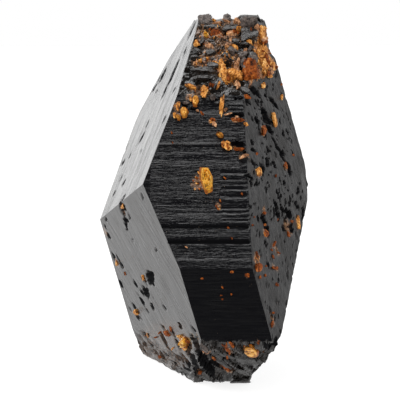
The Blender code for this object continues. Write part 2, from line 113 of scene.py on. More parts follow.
# Marks are strokes in the camera's frame: column and row of one end, of the other end, and the width.
# Cuts add how deep they are in millimetres.
CUTS = {
    UPPER: [
        (179.5, 58, 175, 70, 2, 0.35), (175.5, 67, 169, 84, 2.6, 0.4), (169.5, 80, 162, 98, 1.7, 0.35),
        (167, 66, 158, 85, 1.9, 0.35), (157.5, 84, 151, 92, 1.5, 0.3), (158, 89, 155, 94, 1.2, 0.25),
        (149, 120, 146, 127, 1, 0.25), (145, 132, 139, 143, 1.7, 0.35), (131, 154, 129, 158, 1.1, 0.25),
        (125, 160, 121, 165, 1.6, 0.3), (125.5, 149, 124, 153, 1, 0.2), (121, 176.5, 121, 179.5, 1.3, 0.25),
        (125, 180.5, 122, 186, 1.4, 0.3), (115, 191, 113, 196, 1.3, 0.25), (175, 88, 173, 92, 1.1, 0.25),
        (165.5, 116, 163, 122, 1.3, 0.3), (140, 151, 142, 151.5, 1.4, 0.2), (196, 22, 190, 33, 1.4, 0.3),
        (192, 30, 188, 39, 1.1, 0.25), (187, 45, 183.5, 57, 0.9, 0.25), (161, 74, 157, 84, 0.9, 0.2),
    ],
    LOWER: [
        (119, 201, 125, 217, 3.2, 0.6), (124, 214, 127.5, 232, 2.2, 0.6), (121, 196, 122, 203, 2.2, 0.4),
        (122, 204, 127, 212, 1.6, 0.4), (126, 217, 128.5, 224, 1.4, 0.4), (192, 352, 195, 378, 5, 0.8),
        (184, 340, 190, 352, 3, 0.6), (180, 352, 190, 372, 3, 0.5), (166, 345, 172, 353, 2, 0.4),
        (152, 343, 156, 350, 1.8, 0.4), (143, 331, 146, 338, 1.8, 0.35), (105, 217, 107, 223, 1.6, 0.3),
        (105, 226, 106, 229, 1.3, 0.3), (107, 232, 109.5, 238, 2.4, 0.4), (132, 238, 133, 243, 1.3, 0.25),
        (128.5, 212, 129.5, 219, 1.2, 0.25), (113, 255, 115, 259, 2.6, 0.4),
        (116.5, 255.5, 120, 262, 2, 0.35), (120, 262, 123, 268, 2.6, 0.45), (119, 280, 123, 288, 2.4, 0.45),
        (149, 271, 152, 285, 7.4, 1.1), (143, 286, 146.5, 297, 3, 0.6), (147, 287, 148.5, 298, 2.5, 0.6),
        (134, 281, 137, 287, 2.4, 0.5), (137, 291, 138.5, 296, 1.3, 0.3), (141.5, 276, 143, 282, 1.5, 0.3),
        (145, 278, 146.5, 285, 1.5, 0.35), (140.5, 289, 143, 295, 2, 0.4), (140.5, 298, 144, 304, 2.4, 0.5),
        (151.5, 303, 153, 309, 2, 0.4), (146.5, 309, 147.5, 312, 1.6, 0.3), (152, 294, 153, 297, 1.1, 0.2),
        (163.5, 305, 165.5, 309, 1.9, 0.35), (132, 302, 136, 310, 2, 0.4), (136.5, 313, 138.5, 320, 2, 0.4),
        (129, 306, 130.5, 311, 1.7, 0.3), (140, 314, 141, 319, 1.5, 0.3), (161, 325, 165, 330, 2, 0.4),
        (161, 333, 165, 341, 2.4, 0.5), (163, 338, 168.5, 349, 2.6, 0.5), (170, 329, 175, 337, 2.2, 0.45),
        (179, 322, 182, 331, 2.3, 0.45), (176, 339, 181, 351, 2.6, 0.55), (147, 341, 150.5, 348, 2.3, 0.4),
        (140.5, 340, 143, 347, 1.6, 0.3), (160, 350, 168, 359, 2.4, 0.5), (169, 350, 177, 361, 2.6, 0.5),
        (176, 356, 183, 365, 2.4, 0.5), (157, 351, 162, 361, 2, 0.4), (149, 350, 156, 357, 1.8, 0.35),
        (169, 362, 176, 368, 2, 0.4), (191.5, 325, 195, 333, 2.2, 0.45), (190, 334, 195, 342, 2.8, 0.5),
        (187, 339, 191, 348, 3, 0.6), (186, 350, 191, 357, 3.6, 0.7), (181, 366, 190, 375, 2.2, 0.5),
        (183, 355, 189, 366, 2, 0.4), (155, 247, 157, 250, 1.5, 0.2), (141, 192, 143, 201, 1.3, 0.3),
    ],
    RIGHT: [
        (268, 22, 275, 57, 7, 0.75), (303, 205, 303, 224, 3.5, 0.4), (280, 337, 271, 358, 6, 0.9),
        (249, 85, 260, 97, 6, 0.9), (264.5, 94, 267, 99, 2, 0.4), (269.5, 97, 278, 109, 3.6, 0.7),
        (262, 107, 268, 124, 5.2, 0.8), (255, 117, 259, 124, 3, 0.5), (266, 125, 274.5, 135, 3.8, 0.7),
        (271.5, 135, 277, 147, 2, 0.4), (275.5, 146, 285.5, 156, 3.8, 0.7), (280, 152, 285, 162, 2.8, 0.5),
        (286, 160, 291, 176, 4, 0.8), (267, 145, 268.5, 153, 2.6, 0.5), (266, 157, 268, 167, 3.6, 0.6),
        (251, 139, 253.5, 145, 3.6, 0.5), (250, 147, 256.5, 153, 3, 0.5), (250, 157, 255.5, 167, 2.8, 0.5),
        (262, 164, 262, 175, 3.8, 0.6), (272.5, 161, 276, 169, 1.9, 0.4), (282.5, 129, 284, 137, 2, 0.4),
        (286.5, 129, 288, 134, 2.8, 0.4), (284, 181, 285, 187, 2.4, 0.4), (297.5, 184, 298, 196, 2.4, 0.5),
        (294, 201, 299.5, 211, 2.4, 0.5), (276, 189, 279.5, 200, 2, 0.4), (273, 198, 277.5, 211, 2.6, 0.5),
        (280, 206, 285, 213, 3.6, 0.6), (277, 211, 279, 221, 3.8, 0.6), (286, 209, 291, 219, 5, 0.8),
        (284.5, 219, 288, 233, 3.4, 0.6), (288, 224, 294, 233, 3.8, 0.6), (263, 206, 264.5, 212, 1.8, 0.4),
        (261.5, 214, 266, 227, 3.4, 0.6), (265, 225, 269, 237, 4, 0.6), (256.5, 214, 259, 224, 1.8, 0.4),
        (296, 249, 297.5, 255, 1.8, 0.4), (267.5, 262, 268.5, 267, 2.2, 0.4),
        (271.5, 313, 272.5, 322, 2.4, 0.5), (255, 99, 259, 107, 2, 0.4), (260.5, 98, 262, 106, 1.6, 0.4),
        (274.5, 150, 276, 158, 1.2, 0.3), (247, 172, 253, 181, 3, 0.5), (250, 180, 252, 187, 2.6, 0.4),
        (256, 180, 258, 186, 2.4, 0.4), (261, 176, 263, 182, 1.6, 0.3), (279, 176, 281, 183, 1.4, 0.3),
        (269, 171, 272, 172, 1.6, 0.3), (283, 164, 285, 171, 1.6, 0.3), (291, 151, 294, 154, 1.6, 0.3),
        (279.5, 116, 280.5, 123, 1.3, 0.3), (288, 117, 289, 123, 1.2, 0.25), (285, 92, 287, 100, 1.4, 0.3),
        (245, 97, 251, 105, 3, 0.5), (269, 117, 272, 123, 1.5, 0.3), (258, 127, 261, 134, 1.4, 0.3),
        (284, 239, 285, 242, 1.3, 0.25), (275.5, 237, 276, 240, 1.2, 0.2), (264, 239, 266, 246, 1.6, 0.3),
        (295.5, 230, 297, 241, 1.2, 0.3), (282, 262, 284, 268, 0.9, 0.2), (285, 268, 289, 281, 0.8, 0.2),
        (266, 280, 268, 291, 0.8, 0.2), (283, 70, 283.5, 74, 1.6, 0.4), (276, 70, 277, 76, 1.5, 0.3),
    ],
    FLUTED: [
        (229, 143.5, 246, 146, 5.5, 0.7), (246, 98, 246.5, 103, 3, 0.4), (233, 97.5, 243, 98, 2.6, 0.5),
        (208, 99, 224, 99.5, 1.6, 0.3), (231, 115, 245, 116, 4, 0.5), (183, 102, 186, 108, 4.5, 0.5),
        (190, 108, 198, 110, 1.6, 0.4), (241, 150, 247, 153, 2.6, 0.4),
    ],
    CREST: [
        (254, 24, 260, 24, 4, 0.6), (222, 33, 236, 33, 5, 0.5), (227, 70, 234, 71, 6, 0.9),
        (214, 52, 228, 50, 6, 0.5), (190, 55, 200, 54, 5, 0.4), (236, 60, 250, 59, 4, 0.5),
    ],
    FOOT: [
        (194, 346, 214, 374, 10, 1.1), (208, 359, 232, 370, 7, 0.9), (226, 353, 236, 357, 4, 0.5),
        (214, 350, 232, 362, 4, 0.7), (262, 342, 274, 346, 3, 0.4), (204, 371, 218, 377, 4, 0.5),
        (240, 353, 256, 358, 3, 0.5),
    ],
}
# Blocks and ledges that stand proud, as strokes with their height.
BLOCKS = {
    TOP: [(199, 20, 213, 19, 8, 0.3), (223, 20, 231, 20, 6, 0.2), (237, 19, 259, 18, 10, 0.75)],
    CREST: [
        (200, 22, 212, 22, 12, 0.45), (222, 21, 231, 21, 8, 0.4), (237, 22, 261, 21, 14, 0.95),
        (201, 30, 240, 29, 3.5, 0.6), (240, 39, 257, 39, 9, 0.7), (192, 72, 217, 71, 10, 0.5),
        (224, 46, 232, 43, 7, 0.5), (246, 54, 256, 56, 6, 0.5),
    ],
    FLUTED: [(240, 157.5, 250, 158, 5.5, 0.35), (199, 101.5, 221, 102, 3.5, 0.2)],
    FOOT: [
        (212, 346, 225, 350, 6, 0.5), (233, 346, 247, 353, 7, 0.6), (255, 344, 271, 349, 6, 0.5),
        (241, 362, 254, 370, 9, 0.7), (232, 377, 250, 379, 5, 0.5), (206, 372, 224, 382, 5, 0.4),
    ],
}
# Stretches of the right face that are etched more thickly, with how much.
ETCHED_ZONES = [(254, 92, 268, 150, 24, 0.34), (256, 150, 272, 200, 26, 0.22),
                (270, 200, 290, 240, 26, 0.3), (262, 240, 276, 280, 20, 0.12)]
# Evener ground in the broken crest, as strokes with its share.
CALM = [(190, 75, 218, 75, 13, 1), (240, 39, 257, 39, 9, 0.8), (222, 32, 237, 32, 7, 0.8),
        (199, 22, 212, 22, 12, 0.6), (238, 22, 261, 21, 13, 0.7), (232, 93, 251, 92, 5, 0.8)]
# Corners worn round: face, column and row of the corner, reach and depth in millimetres.
WORN = [(RIGHT, 310, 184, 4.5, 0.5), (UPPER, 99, 220, 1.5, 0.15), (FOOT, 278, 348, 3.5, 0.6),
        (FOOT, 270, 355, 2.6, 0.7)]
# Growth steps along the c axis: row, first and last column, half width and height, below 0 for a groove.
STEPS = {
    FLUTED: [
        (104.2, 196, 220, 1.7, 0.24), (104.4, 228, 244, 1.7, 0.24), (108.4, 228, 244, 1.6, 0.22),
        (112.2, 228, 244, 1.6, 0.2), (131.5, 158, 245, 0.9, -0.05), (144.6, 157, 221, 1.7, 0.22),
        (152, 152, 230, 0.9, -0.04), (164, 150, 215, 0.9, -0.04), (172, 221, 248, 2.4, -0.18),
        (178.3, 221, 248, 2.6, -0.24), (183.6, 221, 248, 2.4, -0.22), (188.8, 221, 248, 1.8, -0.17),
        (195.3, 219, 248, 2.8, -0.27), (206.8, 219, 248, 2.4, -0.22), (212, 221, 249, 1.8, -0.18),
        (217, 221, 249, 1.4, -0.12), (220.6, 221, 249, 1.3, -0.12), (213.3, 152, 222, 0.9, -0.09),
        (226.3, 159, 250, 2.3, -0.42), (241.5, 166, 251, 3.1, -0.6), (246, 230, 252, 1.2, -0.07),
        (258, 173, 251, 0.9, -0.1), (234, 164, 240, 0.8, -0.05), (252, 172, 250, 0.8, -0.05),
        (264, 177, 252, 0.9, -0.05), (191, 152, 205, 0.9, -0.04), (204, 152, 215, 0.8, -0.04),
    ],
    CREST: [
        (70.5, 191, 218, 2.2, -0.25), (75.6, 190, 218, 1.6, 0.24), (78.8, 190, 216, 1.6, 0.2),
        (36, 241, 257, 2.4, -0.28), (40.5, 241, 257, 2.2, -0.25),
    ],
}
# Ochre and rust that coat the black, as strokes with the share they cover, laid on in order: a later stroke
# with a small share clears what an earlier one laid.
COATS = [
    (LOWER, [
        (150, 316, 172, 376, 92, 0.06), (150, 318, 172, 376, 76, 0.12), (151, 322, 172, 376, 62, 0.19),
    ]),
    (FOOT, [(196, 362, 262, 362, 44, 0.04)]),
    (CREST, [
        (190, 34, 252, 34, 34, 0.42), (186, 60, 250, 60, 28, 0.42), (222, 47, 238, 47, 40, 0.5),
        (198, 22, 212, 22, 14, 0.12), (238, 22, 262, 22, 15, 0.1), (222, 32, 237, 32, 7, 0.05),
        (240, 39, 257, 39, 9, 0.08), (189, 73, 218, 73, 13, 0.04), (186, 90, 214, 92, 14, 0.3),
        (226, 70, 234, 71, 7, 0.1), (212, 31, 224, 38, 8, 0.75), (226, 37, 239, 35, 5, 0.7),
        (206, 27, 222, 24.5, 3, 0.7), (234, 18, 240, 28, 7, 0.7), (190, 62, 212, 66, 7, 0.55),
        (219, 60, 219, 74, 6, 0.95), (219, 78, 244, 78, 14, 0.92), (246, 72, 260, 72, 20, 0.9),
        (252, 47, 262, 47, 14, 0.8), (260, 28, 262, 46, 8, 0.9),
    ]),
    (RIGHT, [
        (259, 28, 264, 46, 9, 0.95), (258, 44, 268, 60, 16, 0.95), (256, 62, 268, 78, 18, 0.95),
        (268, 58, 277, 71, 9, 0.8), (257, 168, 260, 178, 5, 0.6), (262, 124, 264, 137, 5, 0.6),
        (264, 227, 268, 238, 6, 0.6), (255, 250, 259, 272, 6, 0.55), (271, 264, 279, 270, 5, 0.5),
        (264, 205, 264, 216, 4, 0.5), (284, 160, 287, 172, 4, 0.45), (286, 218, 292, 238, 6, 0.4),
        (296, 214, 299, 231, 5, 0.55), (271, 312, 274, 328, 4, 0.45), (272, 240, 280, 258, 5, 0.4),
    ]),
    (FLUTED, [
        (195, 172, 196, 192, 10, 0.3), (200, 167, 204, 192, 6, 0.6), (231, 119, 246, 121, 7, 0.7),
        (176, 100, 180, 120, 9, 0.5), (186, 94, 192, 100, 8, 0.5), (222, 142, 246, 151, 5, 0.5),
        (236, 159, 250, 155, 4, 0.4), (218, 200, 220, 212, 4, 0.45), (209, 119, 217, 126, 7, 0.6),
    ]),
    (LOWER, [
        (120, 203, 125, 217, 3, 0.6), (142, 274, 144, 282, 2, 0.6), (134, 309, 138, 317, 4, 0.55),
        (164, 328, 171, 337, 4, 0.55), (145, 331, 148, 338, 2.5, 0.55), (103, 226, 107, 238, 3, 0.4),
        (114, 256, 119, 268, 3, 0.45),
    ]),
    (SMOOTH, [(246, 272, 248, 279, 5, 0.45)]),
    (FOOT, [
        (224, 341, 232, 356, 8, 0.45), (218, 364, 233, 373, 5, 0.5), (196, 372, 203, 376, 4, 0.5),
        (200, 350, 210, 353, 4, 0.5), (256, 341, 260, 342, 3, 0.3),
    ]),
]
# What sits on each face of the crystal, by piece: mineral, stroke and thickness of every grain.
GRAINS = {
    "mica_book_centre": [(FLUTED, [("gold", 204.2, 164.5, 209.6, 194.5, 14, 1.5)])],
    "mica_blade_crest": [(FLUTED, [("ochre", 222, 92, 221, 119, 4.6, 1.1)])],
    "mica_plate_left": [(FLUTED, [("leaf", 184.5, 107.5, 184, 119, 8, 0.8)])],
    "mica_plate_outer": [
        (FLUTED, [
            ("ochre", 174.5, 113, 175, 120, 3.6, 0.7), ("leaf", 176, 116.5, 181, 120, 4.2, 0.6),
            ("ochre", 178.5, 102, 176.5, 111, 4.4, 0.8),
        ]),
    ],
    "mica_plate_upper": [
        (FLUTED, [("leaf", 196.5, 95, 195, 107, 7.4, 0.9), ("ochre", 190, 97, 192, 102, 3, 0.6)]),
    ],
    "mica_flake_middle": [(FLUTED, [("leaf", 216, 133, 223.5, 137.5, 5, 0.8)])],
    "mica_flake_small": [
        (FLUTED, [
            ("rust", 209.5, 119.5, 217, 120.5, 3.2, 0.5), ("tan", 211.5, 120.5, 216, 126.5, 3.4, 0.5),
        ]),
    ],
    "iron_chain_front": [
        (FLUTED, [
            ("ochre", 221, 142.5, 231, 149.5, 5.4, 0.9), ("ochre", 226, 141, 229, 145, 4.6, 0.9),
            ("rust", 231, 149.5, 246, 149.5, 3.2, 0.7),
        ]),
    ],
    "iron_patch_front": [
        (FLUTED, [
            ("rust", 230, 118.5, 246, 121.5, 3.8, 0.45), ("ochre", 244.5, 122, 247.5, 127, 3.8, 0.9),
        ]),
    ],
    "ochre_slab_crest": [(CREST, [("ochre", 184.5, 84.5, 197, 90, 3.4, 1.1)])],
    "ochre_grain_crest": [(CREST, [("ochre", 204, 89, 204, 97, 6.6, 1.1)])],
    "ochre_mass_centre": [
        (CREST, [
            ("ochre", 221, 61, 221, 74, 4.8, 1.6), ("ochre", 221, 70, 228, 85, 9, 2),
            ("ochre", 227, 76, 244, 80, 8, 2), ("tan", 236.5, 64, 238, 77, 5.6, 1.7),
            ("tan", 233.5, 80.5, 238.5, 90, 4.6, 2), ("ochre", 220, 84, 217.5, 90, 2.8, 1),
        ]),
    ],
    "iron_block_crest": [
        (CREST, [
            ("rust", 250, 62, 251.5, 83.5, 18, 2.2), ("rock", 243, 61, 244.5, 72, 7, 1.7),
            ("rust", 244, 73, 249.5, 80, 4.5, 1.8),
        ]),
        (RIGHT, [("tan", 258.5, 66, 256.5, 81, 2.6, 1.2)]),
    ],
    "ochre_mass_edge": [
        (RIGHT, [
            ("ochre", 260.2, 26, 261.2, 46, 5.6, 1.1), ("ochre", 260.5, 44, 261.5, 60, 8.6, 1.3),
            ("ochre", 261.5, 58, 267, 77, 10.5, 1.5), ("ochre", 266.5, 60, 273.5, 69, 5, 1),
            ("ochre", 266, 70, 269.5, 79, 3.4, 0.9),
        ]),
    ],
    "ochre_grain_right_high": [(RIGHT, [("ochre", 262, 82, 263, 89, 3.4, 0.7)])],
    "ochre_grain_right_upper": [(RIGHT, [("ochre", 272.5, 112, 275, 126.5, 3, 0.7)])],
    "iron_grain_right_upper": [(RIGHT, [("rust", 264.5, 125, 261.5, 136, 4.2, 0.8)])],
    "iron_grain_right_middle": [(RIGHT, [("ochre", 258, 168, 259, 177, 3.8, 0.8)])],
    "iron_grain_right_lower": [(RIGHT, [("rust", 266, 228, 266, 237, 5, 0.8)])],
    "iron_grain_corner": [(RIGHT, [("rust", 258, 262, 258, 271.5, 5.4, 0.9)])],
    "iron_grain_right_foot": [(RIGHT, [("rust", 272, 266.5, 278, 269, 4, 0.8)])],
    "mica_flake_top": [(CREST, [("gold", 203, 35.5, 209.5, 36.5, 4.6, 1.1)])],
    "iron_lump_base": [
        (FOOT, [
            ("rust", 225, 340, 228, 350, 3, 0.5), ("rust", 229, 340, 234, 346, 2.6, 0.5),
            ("rust", 229, 346, 230, 354, 2.4, 0.5), ("rust", 221.5, 342, 225, 344, 2, 0.4),
        ]),
    ],
    "mica_leaf_base": [(FOOT, [("leaf", 242, 346, 259, 351.5, 11, 0.6)])],
    "mica_book_lower_left": [
        (LOWER, [
            ("gold", 183, 335, 185.5, 348.5, 6, 1), ("ochre", 180, 334, 183, 341, 3.6, 0.9),
            ("rust", 185, 340, 189, 343, 3, 0.9), ("ochre", 183, 344, 187, 350, 3.4, 0.8),
        ]),
    ],
    "ochre_grain_left_foot": [(LOWER, [("rust", 164.5, 329, 170, 337, 3.4, 0.6)])],
    "ochre_grain_left_rim": [(LOWER, [("ochre", 135, 309, 137, 315.5, 3, 0.7)])],
}
# Smaller crumbs beside them, by piece, in the same form.
CRUMBS = {
    "crest_crumbs": [
        (CREST, [
            ("rust", 211, 31, 223, 38.5, 7, 1.5), ("tan", 227, 37, 238, 34.5, 5, 1.5),
            ("tan", 235, 21.5, 240.5, 28.5, 4.9, 1.2), ("tan", 207, 27.5, 222, 24.5, 2.4, 1),
            ("tan", 222, 24.5, 232, 27, 2, 1), ("rock", 198, 24.5, 212.5, 22.5, 10.5, 1.5),
            ("ochre", 211.5, 20.5, 216, 23, 2.6, 0.9), ("rock", 222.5, 22.5, 231, 22.5, 6.6, 1.5),
            ("slab", 203, 30.8, 221, 28.6, 3.6, 1), ("slab", 222.5, 30.5, 239.5, 30, 7.5, 1),
            ("slab", 239.5, 40, 258.5, 39, 10, 1.6), ("slab", 240, 34.5, 257, 34, 4.6, 1.9),
            ("rust", 249, 34.5, 253, 35, 2.4, 2.2), ("tan", 254, 30, 260, 34, 2.4, 1.8),
            ("ochre", 237, 36, 241, 33, 2.6, 1.4), ("ochre", 246, 45.6, 253, 44.4, 2.8, 1.5),
            ("rock", 240, 28.6, 258, 28.2, 4.6, 2), ("slab", 255, 26, 264, 27, 6, 1),
            ("rock", 228, 50.5, 240, 54.5, 4.6, 1.4), ("rock", 239, 55.5, 248, 55.5, 3.4, 1.4),
            ("rock", 248, 55, 252, 47, 3.2, 1.4), ("tan", 243, 50.5, 247.5, 51.5, 4.6, 1.2),
            ("rock", 247.5, 60, 257.5, 61, 5, 1.4), ("slab", 206, 67.2, 219, 66.8, 5, 1),
            ("slab", 224, 63, 233, 63.5, 3.6, 1.2), ("slab", 198.5, 45, 204, 39, 4.2, 1.2),
            ("slab", 205, 54, 217, 55.5, 3.6, 1.2), ("slab", 232, 42, 240, 44.5, 4, 1.2),
            ("slab", 208, 40, 216, 42, 3.4, 1.1), ("slab", 191, 51.5, 203, 53, 3.6, 1.1),
            ("slab", 240, 46, 254, 46.5, 2.6, 1.2), ("slab", 190, 60, 204, 59, 3.4, 1),
            ("slab", 222, 55, 230, 57, 3, 1), ("ochre", 231.5, 46, 238, 51.5, 3.2, 1.3),
            ("tan", 205, 47, 213.5, 47.5, 3.8, 1.4), ("ochre", 193, 45, 199.5, 45.5, 3.8, 1.3),
            ("ochre", 206, 58.5, 210, 59.5, 2.6, 1), ("ochre", 223.5, 57, 226.5, 57.5, 2.4, 1),
            ("ochre", 231, 58, 234, 60, 3.6, 1.3), ("tan", 193, 66, 196, 64, 2.4, 0.9),
            ("ochre", 199, 64.5, 203, 63, 2.2, 0.9), ("tan", 195.5, 70, 198.5, 70.5, 2.4, 0.9),
            ("tan", 205, 63.5, 208, 65, 2.2, 0.9), ("ochre", 201, 69, 203.5, 69.5, 2, 0.9),
            ("slab", 190.5, 72.6, 217.5, 71.6, 6, 0.9), ("slab", 190, 79.5, 216, 78.6, 4, 0.8),
            ("ochre", 210, 61.5, 219, 66.5, 2.6, 1.2), ("slab", 240, 90, 252, 95, 5, 1),
            ("slab", 231, 92.5, 242, 93.5, 4.4, 1.1), ("rock", 210, 96, 216, 99, 5, 1),
            ("rust", 209, 84, 214, 86, 4, 1.1), ("rust", 192, 86.5, 190, 84, 1.2, 0.5),
        ]),
        (FLUTED, [("tan", 196, 110, 200, 112, 2.4, 0.6)]),
    ],
    "front_crumbs": [
        (FLUTED, [
            ("ochre", 198, 171, 199.5, 175, 2, 0.3), ("rust", 196, 177, 198, 179.5, 2.2, 0.3),
            ("ochre", 195, 183, 198, 184, 2, 0.3), ("rust", 198.5, 187.5, 200.5, 190, 2.4, 0.3),
            ("rust", 192.5, 180, 194, 181.5, 1.4, 0.2), ("ochre", 194, 188, 195.5, 190, 1.6, 0.2),
            ("tan", 239, 159.5, 249.5, 155, 3.2, 0.5),
        ]),
        (CREST, [("rust", 244, 96, 251.5, 98, 3, 0.8)]),
        (FLUTED, [
            ("rust", 201, 112, 204, 116, 2.4, 0.5), ("tan", 224.5, 112, 227, 108, 2.6, 0.6),
            ("tan", 224, 115.5, 232, 113, 1.8, 0.5), ("rock", 182, 103, 190, 103, 3, 0.7),
            ("rust", 171, 131, 172.5, 134, 2, 0.3), ("rust", 171.5, 141, 173, 144, 1.8, 0.3),
            ("rust", 227, 226, 229.5, 229, 2.6, 0.4), ("rust", 230.5, 237, 233, 239.5, 2.2, 0.4),
            ("rust", 219.5, 199, 221, 203, 1.8, 0.4), ("rust", 216.5, 207, 219, 210, 2, 0.4),
            ("tan", 184.5, 247, 188, 247.5, 1.8, 0.3), ("rust", 241, 193, 243, 195, 2.2, 0.4),
            ("rust", 223, 176.5, 226, 179, 1.8, 0.4),
        ]),
        (SMOOTH, [
            ("rust", 200.5, 278, 204, 278.5, 2.6, 0.2), ("rust", 229.5, 271.5, 234, 272, 2.8, 0.25),
            ("rust", 247, 273, 247.5, 278, 4.6, 0.25), ("rust", 221.5, 286, 223.5, 289, 2.4, 0.2),
            ("rust", 219.5, 295.5, 222.5, 295, 1.6, 0.15), ("rust", 221, 299, 223.5, 299.5, 2.2, 0.2),
            ("rust", 230.5, 294.5, 232.5, 294, 2.4, 0.2),
        ]),
    ],
    "right_crumbs": [
        (RIGHT, [
            ("ochre", 281, 94.5, 281.5, 101, 2.5, 0.5), ("rust", 281, 83, 281.5, 86, 1.8, 0.4),
            ("rust", 286, 161, 287, 170, 2.2, 0.5), ("rust", 293, 153.5, 294, 156.5, 2.2, 0.4),
            ("rust", 256.5, 152, 257.5, 156, 2.4, 0.4), ("rust", 263.5, 211, 264, 215, 3, 0.5),
            ("rust", 266, 223, 266.5, 226, 2.6, 0.5), ("ochre", 297.5, 215, 298.5, 229, 2.6, 0.6),
            ("rust", 287.5, 231, 289, 237, 2.8, 0.5), ("rust", 290.5, 220, 293, 223, 2.8, 0.5),
            ("rust", 277, 218, 279, 220.5, 2.6, 0.5), ("rust", 256.5, 251, 257.5, 257, 2.8, 0.5),
            ("rust", 275, 241, 273.5, 247, 2.4, 0.4), ("rust", 277, 252, 280.5, 253.5, 2, 0.4),
            ("rust", 276, 282, 277, 287, 2.8, 0.4), ("rust", 265, 273.5, 265.5, 277, 2.2, 0.4),
            ("rust", 259.5, 275, 260, 279, 2.4, 0.4), ("rust", 252, 224, 252.5, 226.5, 2.2, 0.4),
            ("rust", 254, 216, 254.5, 218, 1.6, 0.3), ("rust", 272, 321, 272, 327.5, 3, 0.5),
            ("rust", 272.5, 311.5, 273.5, 314.5, 2.2, 0.4), ("rust", 272, 255, 274, 259, 1.8, 0.3),
            ("rust", 270.5, 249, 273, 251, 1.8, 0.3), ("rust", 266, 264.5, 266.5, 267.5, 1.6, 0.3),
            ("rust", 275.5, 174, 276, 178, 2, 0.4),
        ]),
    ],
    "left_crumbs": [
        (LOWER, [
            ("ochre", 116, 261, 117.5, 266.5, 2.2, 0.5), ("ochre", 122, 204, 123, 209, 2.8, 0.5),
            ("ochre", 142.5, 274.5, 144, 281, 1.8, 0.4), ("ochre", 146, 332, 148, 337.5, 1.7, 0.4),
            ("rust", 169.5, 326, 172.5, 332, 2.2, 0.4), ("rust", 124, 271, 126, 275.5, 1.8, 0.3),
            ("rust", 157, 356, 159, 359, 2.2, 0.4),
        ]),
    ],
    "foot_crumbs": [
        (FOOT, [
            ("slab", 237, 356, 258, 364, 9, 0.9), ("slab", 214, 348, 236, 360, 4, 0.8),
            ("slab", 212, 356, 232, 371, 3.6, 0.7), ("slab", 231, 378.5, 251, 377.5, 3.6, 0.9),
            ("rock", 199, 342, 208, 351, 2.6, 0.7), ("slab", 236, 366, 252, 373, 5, 0.8),
            ("rust", 203, 351, 207.5, 352.5, 3.2, 0.6), ("rust", 198, 374, 202, 375, 3.4, 0.6),
            ("rust", 220, 365, 232, 372.5, 2.6, 0.6), ("rust", 211.5, 356, 216.5, 359.5, 2, 0.5),
            ("rust", 257, 342.5, 260, 341, 2, 0.5), ("rust", 226, 353, 228, 357, 3, 0.7),
        ]),
    ],
}
# Small grains scattered where the coat lies: face, first and last column, first and last row, spots tried.
LITTER = [
    ("crest_litter", CREST, 190, 262, 26, 98, 600),
    ("edge_litter", RIGHT, 254, 278, 28, 82, 160),
    ("front_litter", FLUTED, 172, 250, 92, 215, 500),
    ("right_litter", RIGHT, 252, 300, 90, 330, 500),
    ("left_litter", LOWER, 100, 182, 200, 350, 700),
    ("foot_litter", FOOT, 196, 262, 340, 378, 240),
]
LITTER_MARGIN = 0.25  # litter keeps this far off a face's edges
LITTER_KINDS = ("ochre", "ochre", "tan", "tan", "rust", "rust", "rust", "rock")

# How marks end: the raggedness of their outline, the bevel of their corners, how far they reach off their
# face, the share of the way in that their walls take, and how far past a mark points are still looked at.
RAGGED, BEVEL, MARK_REACH = 0.3, 0.68, 2.0
CUT_WALL, BLOCK_WALL, ZONE_WALL, CALM_WALL = 0.45, 0.25, 0.6, 0.3
MARK_LIMIT = 1.5
STEP_TURN, STEP_SHADE = 0.4, 0.55  # where a growth step is highest, and how far its groove counts as a hollow, which the painted shade of the hollows darkens
SHADED_HOLLOW_FROM = 0.12  # a hollow deeper than this takes a rough finish with little shine: painted shade that makes it dull and dark
CORNER_FACET = -6.9  # left of this x the fluted face is smooth
ETCH_DEPTH, FOOT_ETCH = 0.35, 0.6  # how deep the etched pits are, and those at the foot
LATTICE, CUBES = 64, 16  # how soon the noise and the broken ground repeat
ALONG_AXIS = (0.55, 1.0, 1.0)  # broken ground is drawn out along the c axis
# Striae: length, width, shift, seed and height of each set.
STRIAE = [(30, 1.1, 0, 11, 0.05), (12, 0.55, 3, 12, 0.025), (1.6, 0.3, 7, 13, 0.02)]
# Broken ground: cell, lift, slope, seed and shift of each layer.
RUBBLE = [(1.1, 0.34, 0.5, 21, 0), (0.5, 0.14, 0.22, 22, 40)]
SLABS = [(0.9, 0.3, 0.42, 31, 0), (0.4, 0.12, 0.2, 32, 20)]
# Waves of an even face: length in y and in z, seed and height of each.
LOWER_WAVES, END_WAVES = [(4, 4, 42, 0.03)], [(4, 5, 43, 0.03)]
ETCHED_WAVES, LEVEL_WAVES = [(0.8, 1.1, 44, 0.05), (0.35, 0.6, 45, 0.03)], [(5, 6, 48, 0.2)]

# Grains: their kinds in slot order, and those that are flakes of mica.
GRAIN_SLOTS, FLAKES = ("ochre", "tan", "rust", "rock", "gold", "leaf", "slab"), ("gold", "leaf")
WEAR = {"ochre": 0.12, "tan": 0.14, "rust": 0.07, "rock": 0.14, "slab": 0.1}
RAISED = 0.1  # how far a grain's middle lies over the ground, as a share of its thickness
GROUND_REACH = 0.6  # a grain sits on the ground that lies within this share of its half length
GROUND_SHARE, FLAKE_SHARE = 65, 95  # a grain, and a flake, is level with this percentile of that ground
FLOOR_GAP = 0.02  # no grain reaches lower
# Earthy grains from this width on are clusters: shards for each square column, their lean and their kinds.
CLUSTER_FROM, CHUNKS_PER_AREA, SHARD_LEAN = 5.0, 0.055, 1.35
KINDS_BESIDE = {"ochre": ("ochre", "ochre", "ochre", "rust", "tan", "ochre", "rust"),
                "tan": ("tan", "tan", "ochre", "rust")}
GRAIN_CREASE, CRYSTAL_CREASE = 38, 34  # an edge that turns by more degrees is sharp
GRAIN_SEED, CRUMB_SEED, LITTER_SEED, SPOT_SEED = 100, 200, 300, 400

